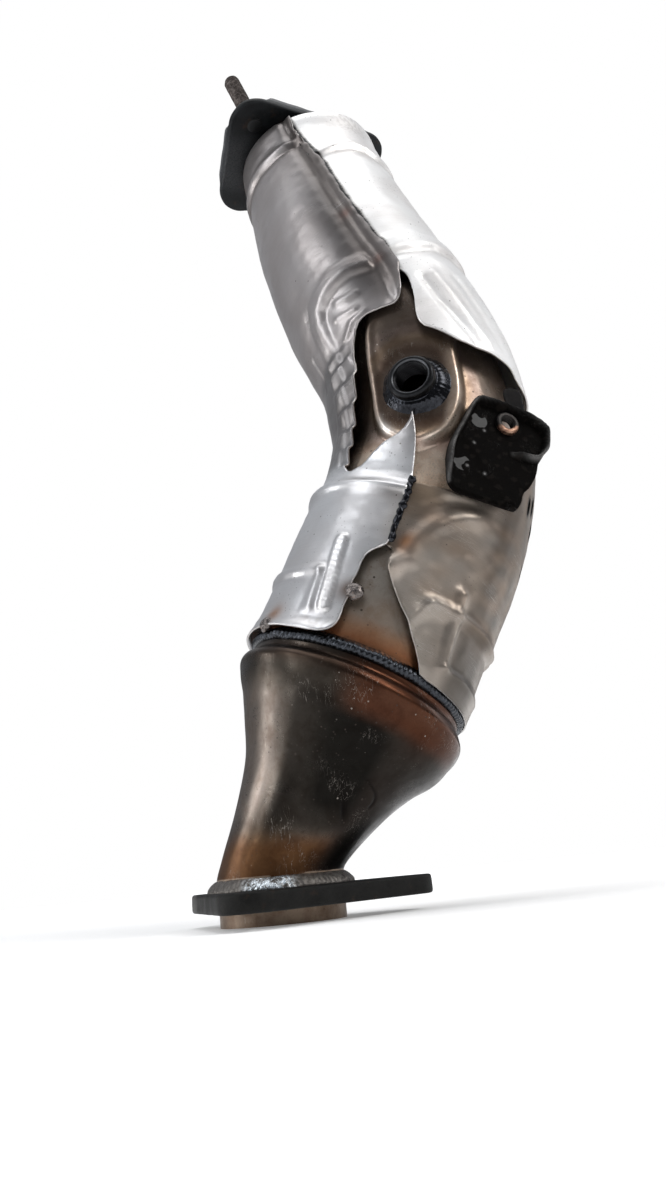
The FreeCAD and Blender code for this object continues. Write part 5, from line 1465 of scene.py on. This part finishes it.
# the light line along the rim's crest is partly worn bare metal and partly a painted highlight of the lit edge
crest = np.exp(-((d - 0.7) / 0.75) ** 2)
rim_wear_and_highlight = crest * (0.30 + 0.70 * (1 - smooth((al - 0.42) / 0.10))) * (0.65 + 0.35 * waves(co, 9, 123))
rim_wear_and_highlight = np.maximum(rim_wear_and_highlight, crest * smooth((al - 0.62) / 0.06) * (1 - smooth((al - 0.92) / 0.06)) * 0.75)
rim_wear_and_highlight = np.clip(rim_wear_and_highlight, 0, 1)
wcol = blend(col((0.0028, 0.0025, 0.0023), nb_), (0.15, 0.148, 0.146), rim_wear_and_highlight * 0.9)
wcol = blend(wcol, (0.010, 0.0085, 0.0075), 0.5 * (waves(co, 7, 124) > 0.5) * (1 - rim_wear_and_highlight))
for x_, y_ in ((-2.5, 4.0), (-9.5, -9.5), (-1.0, -14.0), (5.5, 12.0)):
    wcol = blend(wcol, (0.30, 0.30, 0.30), 0.8 * np.exp(-(((co[:, 0] - x_) ** 2 + (co[:, 1] - y_) ** 2) / 0.6 ** 2)))
wcol = np.vstack([wcol, col((0.008, 0.007, 0.0065), nb_)])
rim_wear_and_highlight2 = np.r_[rim_wear_and_highlight, np.zeros(nb_)]
BRK = Mat("bracket_black_worn")
_m = BRK
_t = _m.attr("tint", "Color"); _w = _m.attr("rough"); _g = _m.noise(_m.pos, 0.22, 5, 0.65, 0.3); _f = _m.noise(_m.pos, 1.8, 4, 0.7)
_c = _m.mix(_m.mask(_g, 0.36, 0.68), _t, _m.mix(1.0, _t, (1.35, 1.3, 1.28), "MULTIPLY"))
_sp = _m.math("LESS_THAN", _m.cells(_m.pos, 0.40), 0.06)
_c = _m.mix(_m.math("MULTIPLY", _sp, 0.35), _c, (0.035, 0.032, 0.030))
_sc = _m.noise(_m.stretch(_m.pos, (0.55, 0.12, 0.3)), 1.0, 2, 0.5, 0.7)
_l = _m.math("SUBTRACT", 1.0, _m.math("MULTIPLY", _m.math("ABSOLUTE", _m.math("SUBTRACT", _sc, 0.5)), 110.0), clamp=True)
_l = _m.math("MULTIPLY", _l, _m.mask(_m.noise(_m.pos, 0.09, 2, 0.5), 0.52, 0.62))
_c = _m.mix(_m.math("MULTIPLY", _l, 0.35), _c, (0.10, 0.097, 0.095))
_m.out(_c, _m.math("ADD", _m.math("SUBTRACT", 0.46, _m.math("MULTIPLY", _w, 0.14)), _m.math("MULTIPLY", _m.math("SUBTRACT", _g, 0.5), 0.3), clamp=True),
       _m.math("MULTIPLY", _w, 0.7), _m.bump(_m.math("ADD", _g, _m.math("MULTIPLY", _f, 0.5)), 0.35, 0.25), Specular_IOR_Level=0.06, IOR=1.15)
make("side_bracket_pressed", V, F, slot="bracket_black", replaces=["bracket"], mats=[BRK.m], sharp=50,
     attrs={"tint": np.c_[np.clip(wcol, 0, 1), np.ones(len(wcol))], "rough": rim_wear_and_highlight2})

# the knob on the bracket's far edge
TAB = [(25.6, 20.5), (25.4, 38), (25.9, 41), (27.6, 42.6), (30.4, 43), (33.6, 42.4), (35.8, 40.6), (36.6, 38), (35.9, 32), (35, 20.5)]
tb_ = resample(closed_soft(TAB, 2), 0.8)
co, tri = flat_mesh(tb_, 0.8)
oe, _, _ = line_dist(co, np.vstack([tb_, tb_[:1]]))
rnd = np.sqrt(np.clip(1 - (1 - np.clip(oe / 1.3, 0, 1)) ** 2, 0, 1)) * 1.3 - 1.3
nb_ = len(co)
zt = -2.5 + rnd + 0.08 * waves(co, 6, 131) - 0.25 * np.exp(-((co[:, 1] - 36) / 2.0) ** 2)
zb = -5.5 - rnd
V = [bk(x, y, z) for (x, y), z in zip(co, zt)] + [bk(x, y, z) for (x, y), z in zip(co, zb)]
F = [tuple(t) for t in tri] + [tuple(nb_ + i for i in t[::-1]) for t in tri]
edge_ = {(a, b) for t in tri for a, b in ((t[0], t[1]), (t[1], t[2]), (t[2], t[0]))}
F += [(b, a, nb_ + a, nb_ + b) for a, b in edge_ if (b, a) not in edge_]
tc = blend(col((0.014, 0.0135, 0.0135), nb_), (0.06, 0.058, 0.058), 0.6 * (1 - smooth(oe / 1.6)))
make("bracket_tab_pressed", V, F, slot="bracket_black", replaces=["bracket_rear_tab"], mats=[BRK.m], sharp=50,
     attrs={"tint": np.c_[np.vstack([tc, tc]), np.ones(2 * nb_)], "rough": np.r_[0.3 * (1 - smooth(oe / 1.6)), np.zeros(nb_)]})

NUT = Mat("copper_plated_nut")
_m = NUT
_g = _m.noise(_m.pos, 0.6, 4, 0.65); _f = _m.noise(_m.pos, 3.0, 4, 0.7)
_c = _m.ramp(_g, [(0.34, (0.10, 0.055, 0.04)), (0.55, (0.27, 0.15, 0.10)), (0.72, (0.46, 0.30, 0.22))])
_y = _m.math_vec("DOT_PRODUCT", _m.math_vec("SUBTRACT", _m.pos, tuple(bk(19.4, 16.6))), tuple(KY))
# painted shadow: the nut is painted near black except its lowest part
_c = _m.mix(_m.mask(_y, -3.6, -1.2), _c, _m.ramp(_f, [(0.3, (0.006, 0.0055, 0.0055)), (0.7, (0.035, 0.031, 0.029))]))
_m.out(_c, _m.math("ADD", 0.3, _m.math("MULTIPLY", _f, 0.2)), 0.85, _m.bump(_f, 0.4, 0.15))
npf = [(6.4, -0.2), (6.4, 1.5), (6.25, 1.95), (5.9, 2.25), (5.4, 2.4), (4.4, 2.4), (3.9, 2.25), (3.6, 1.95)]
npf += [(3.55, h) for h in np.arange(1.7, -2.3, -0.16)] + [(4.1, -2.4), (4.1, -0.2)]


def nut_thread(TH, R, H):
    ph = (H / 1.25 - TH / (2 * math.pi)) % 1.0
    return np.where(R < 3.7, np.abs(ph - 0.5) * 1.1 - 0.3, 0.03 * np.sin(5 * TH)), np.where(R > 3.7, 0.05 * np.sin(TH * 3 + 1), 0)


turned("bracket_nut_copper", bk(19.4, 16.6), KN, npf, n=96, bump=nut_thread, slot="nut_copper", replaces=["bracket_nut"], mats=[NUT.m], sharp=40)


# ---------------------------------------------------------------- finishes of the CAD nodes that stay
def can_finish(name, origin, axis):
    """Satin heat-tinted can: an orange-brown band over the weld fading into brown-grey, spatter and handling marks."""
    m = Mat(name)
    t = m.math_vec("DOT_PRODUCT", m.math_vec("SUBTRACT", m.pos, tuple(origin)), tuple(axis))
    wob = m.noise(m.pos, 0.07, 3, 0.6)
    t = m.math("ADD", t, m.math("MULTIPLY", m.math("SUBTRACT", wob, 0.5), 7.0))
    base = m.ramp(m.math("DIVIDE", t, 60.0), [(0.06, (0.10, 0.055, 0.035)), (0.13, (0.36, 0.155, 0.075)), (0.22, (0.44, 0.25, 0.15)),
                                             (0.34, (0.42, 0.345, 0.28)), (0.60, (0.43, 0.385, 0.335)), (0.9, (0.38, 0.335, 0.29))])
    return tinted_core(m, base, 0.36, 0.9, 0.30, 0.35)


def plain_finish(name, c, rough=0.4, metal=0.9):
    m = Mat(name)
    return tinted_core(m, (*c, 1.0), rough, metal, 0.30, 0.35)


def fibre(name):
    m = Mat(name)
    g = m.noise(m.stretch(m.pos, (1.0, 1.0, 0.4)), 1.4, 5, 0.75, 1.2)
    c = m.ramp(g, [(0.3, (0.52, 0.49, 0.44)), (0.7, (0.80, 0.78, 0.74))])
    return m.out(c, 0.9, 0.0, m.bump(g, 0.7, 0.5))


def honeycomb(name, axis, origin):
    """Square-celled ceramic monolith seen on its ends."""
    m = Mat(name)
    x, y, z = basis(axis)
    q = m.math_vec("SUBTRACT", m.pos, tuple(origin))
    u = m.math("DIVIDE", m.math_vec("DOT_PRODUCT", q, tuple(x)), 1.27)
    v = m.math("DIVIDE", m.math_vec("DOT_PRODUCT", q, tuple(y)), 1.27)
    a = m.math("ABSOLUTE", m.math("SUBTRACT", m.math("FRACT", u), 0.5)); b = m.math("ABSOLUTE", m.math("SUBTRACT", m.math("FRACT", v), 0.5))
    wall = m.mask(m.math("MAXIMUM", a, b), 0.40, 0.43)
    g = m.noise(m.pos, 0.3, 4, 0.6)
    # the cell openings are painted dark: painted shade down the channels
    c = m.mix(wall, (0.035, 0.03, 0.028), m.ramp(g, [(0.3, (0.52, 0.46, 0.38)), (0.7, (0.68, 0.62, 0.52))]))
    return m.out(c, 0.85, 0.0, m.bump(wall, 0.8, 0.6))


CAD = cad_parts


def dress(mat, *names):
    for n in names:
        me = CAD[n].data
        me.materials.clear()
        me.materials.append(mat)


dress(can_finish("lower_can_tint", PL, DL), "lower_canister")
dress(plain_finish("outlet_neck_brown", (0.235, 0.175, 0.13), 0.42), "outlet_neck")
dress(plain_finish("elbow_rear_brown", (0.30, 0.255, 0.22)), "mid_shell_rear")
dress(plain_finish("upper_can_brown", (0.33, 0.285, 0.245)), "upper_canister")
# the upper cone is painted dark: painted shade under the shield's rim
dress(plain_finish("upper_cone_painted_shade", (0.10, 0.095, 0.09), 0.5), "upper_cone")
dress(fibre("mat_white_fibre"), "lower_mat", "upper_mat")
dress(honeycomb("lower_monolith", DL, PL), "lower_brick")
dress(honeycomb("upper_monolith", DU, PU), "upper_brick")
dress(dark_metal("inlet_weld_dark", (0.035, 0.035, 0.038), (0.16, 0.165, 0.175), 0.35, 0.9, 0.5, 0.5), "upper_flange_weld")
dress(dark_metal("bracket_weld_black", (0.004, 0.0038, 0.0036), (0.012, 0.011, 0.0105), 0.5, 0.1, 0.5, 0.5), "bracket_weld_low", "bracket_weld_high")


# ---------------------------------------------------------------- floor, light and camera
me = bpy.data.meshes.new("studio_floor")
me.from_pydata([(-3, -3, -0.0071), (3, -3, -0.0071), (3, 3, -0.0071), (-3, 3, -0.0071)], [], [(0, 1, 2, 3)])
floor = bpy.data.objects.new("studio_floor", me)
scene.collection.objects.link(floor)
FL = Mat("pale_floor")
_g = FL.noise(FL.pos, 0.004, 3, 0.5)
FL.out(FL.ramp(_g, [(0.3, (0.93, 0.925, 0.92)), (0.7, (0.95, 0.945, 0.94))]), 0.8, 0.0, Emission_Strength=1.0)
FL.link(FL.mix(FL.mask(FL.math_vec("LENGTH", FL.pos), 350.0, 1300.0), (0.22, 0.219, 0.217), (0.90, 0.90, 0.90)), FL.b.inputs["Emission Color"])
me.materials.append(FL.m)

world = bpy.data.worlds.new("studio")
scene.world = world
world.use_nodes = True
wt = world.node_tree
wt.nodes.clear()
wo = wt.nodes.new("ShaderNodeOutputWorld")
lp = wt.nodes.new("ShaderNodeLightPath")
mixw = wt.nodes.new("ShaderNodeMixShader")
bgc = wt.nodes.new("ShaderNodeBackground"); bgc.inputs[0].default_value = (1, 1, 1, 1); bgc.inputs[1].default_value = 1.0
bgl = wt.nodes.new("ShaderNodeBackground"); bgl.inputs[1].default_value = 1.0
tc = wt.nodes.new("ShaderNodeTexCoord"); sep = wt.nodes.new("ShaderNodeSeparateXYZ")
wt.links.new(tc.outputs["Generated"], sep.inputs[0])


def wmath(op, a, b, clamp=False):
    n = wt.nodes.new("ShaderNodeMath"); n.operation = op; n.use_clamp = clamp
    for k, v in enumerate((a, b)):
        if hasattr(v, "links"):
            wt.links.new(v, n.inputs[k])
        else:
            n.inputs[k].default_value = v
    return n.outputs[0]


# brighter overhead and behind, a dim wall behind the camera
height = wmath("ADD", wmath("MULTIPLY", sep.outputs[2], 0.5), 0.5)
rp_ = wt.nodes.new("ShaderNodeValToRGB")
rp_.color_ramp.elements[0].position = 0.30; rp_.color_ramp.elements[0].color = (0.07, 0.068, 0.066, 1)
rp_.color_ramp.elements[1].position = 0.80; rp_.color_ramp.elements[1].color = (0.42, 0.435, 0.46, 1)
e = rp_.color_ramp.elements.new(0.50); e.color = (0.10, 0.098, 0.096, 1)
e = rp_.color_ramp.elements.new(0.62); e.color = (0.22, 0.226, 0.24, 1)
wt.links.new(height, rp_.inputs[0])
front = wmath("MULTIPLY", wmath("MULTIPLY", sep.outputs[1], -1.0), 1.0, True)
dimf = wmath("SUBTRACT", 1.0, wmath("MULTIPLY", wmath("POWER", front, 2.0), 0.62))
mul = wt.nodes.new("ShaderNodeMix"); mul.data_type = "RGBA"; mul.blend_type = "MULTIPLY"; mul.inputs[0].default_value = 1.0
wt.links.new(rp_.outputs[0], mul.inputs[6])
comb = wt.nodes.new("ShaderNodeCombineColor")
for k in range(3):
    wt.links.new(dimf, comb.inputs[k])
wt.links.new(comb.outputs[0], mul.inputs[7])
wt.links.new(mul.outputs[2], bgl.inputs[0])
wt.links.new(lp.outputs["Is Camera Ray"], mixw.inputs[0])
wt.links.new(bgl.outputs[0], mixw.inputs[1]); wt.links.new(bgc.outputs[0], mixw.inputs[2])
wt.links.new(mixw.outputs[0], wo.inputs[0])


def area(name, loc, target, w, h, power, color=(1, 1, 1)):
    L = bpy.data.lights.new(name, "AREA")
    L.shape = "RECTANGLE"; L.size = w; L.size_y = h; L.energy = power; L.color = color
    ob = bpy.data.objects.new(name, L)
    scene.collection.objects.link(ob)
    ob.location = loc
    d = Vector(target) - Vector(loc)
    ob.rotation_euler = d.to_track_quat("-Z", "Y").to_euler()
    return ob


mid = (0.07, 0.02, 0.27)
area("key_right", (1.35, -0.65, 1.35), mid, 0.7, 0.9, 13.5, (1.0, 0.99, 0.97))
area("strip_left", (-1.05, -0.55, 0.75), mid, 0.28, 1.3, 5.5, (0.96, 0.98, 1.0))
area("top_soft", (0.0, 0.1, 1.7), mid, 1.2, 1.2, 9)
area("strip_low_left", (-1.0, 0.12, 0.12), (0.02, 0.0, 0.06), 0.10, 0.7, 2.6)
area("rim_right", (1.0, 0.55, 0.45), mid, 0.3, 1.2, 1.5)

cam = bpy.data.cameras.new("camera")
cam.sensor_width = 36.0; cam.sensor_fit = "AUTO"; cam.lens = 33.446
cam.clip_start = 0.01; cam.clip_end = 200
cob = bpy.data.objects.new("camera", cam)
scene.collection.objects.link(cob)
X = Vector((0.99553396, 0.0232493, -0.09149645)); Y = Vector((0.09440408, -0.24517439, 0.96487169)); Z = -Vector((0.0, 0.96920018, 0.24627426))
M = Matrix((X, Y, Z)).transposed().to_4x4()
M.translation = Vector((0.037588, -0.539943, 0.013453))
cob.matrix_world = M
scene.camera = cob
scene.view_settings.view_transform = "Standard"
scene.view_settings.look = "None"
scene.view_settings.exposure = 0.0
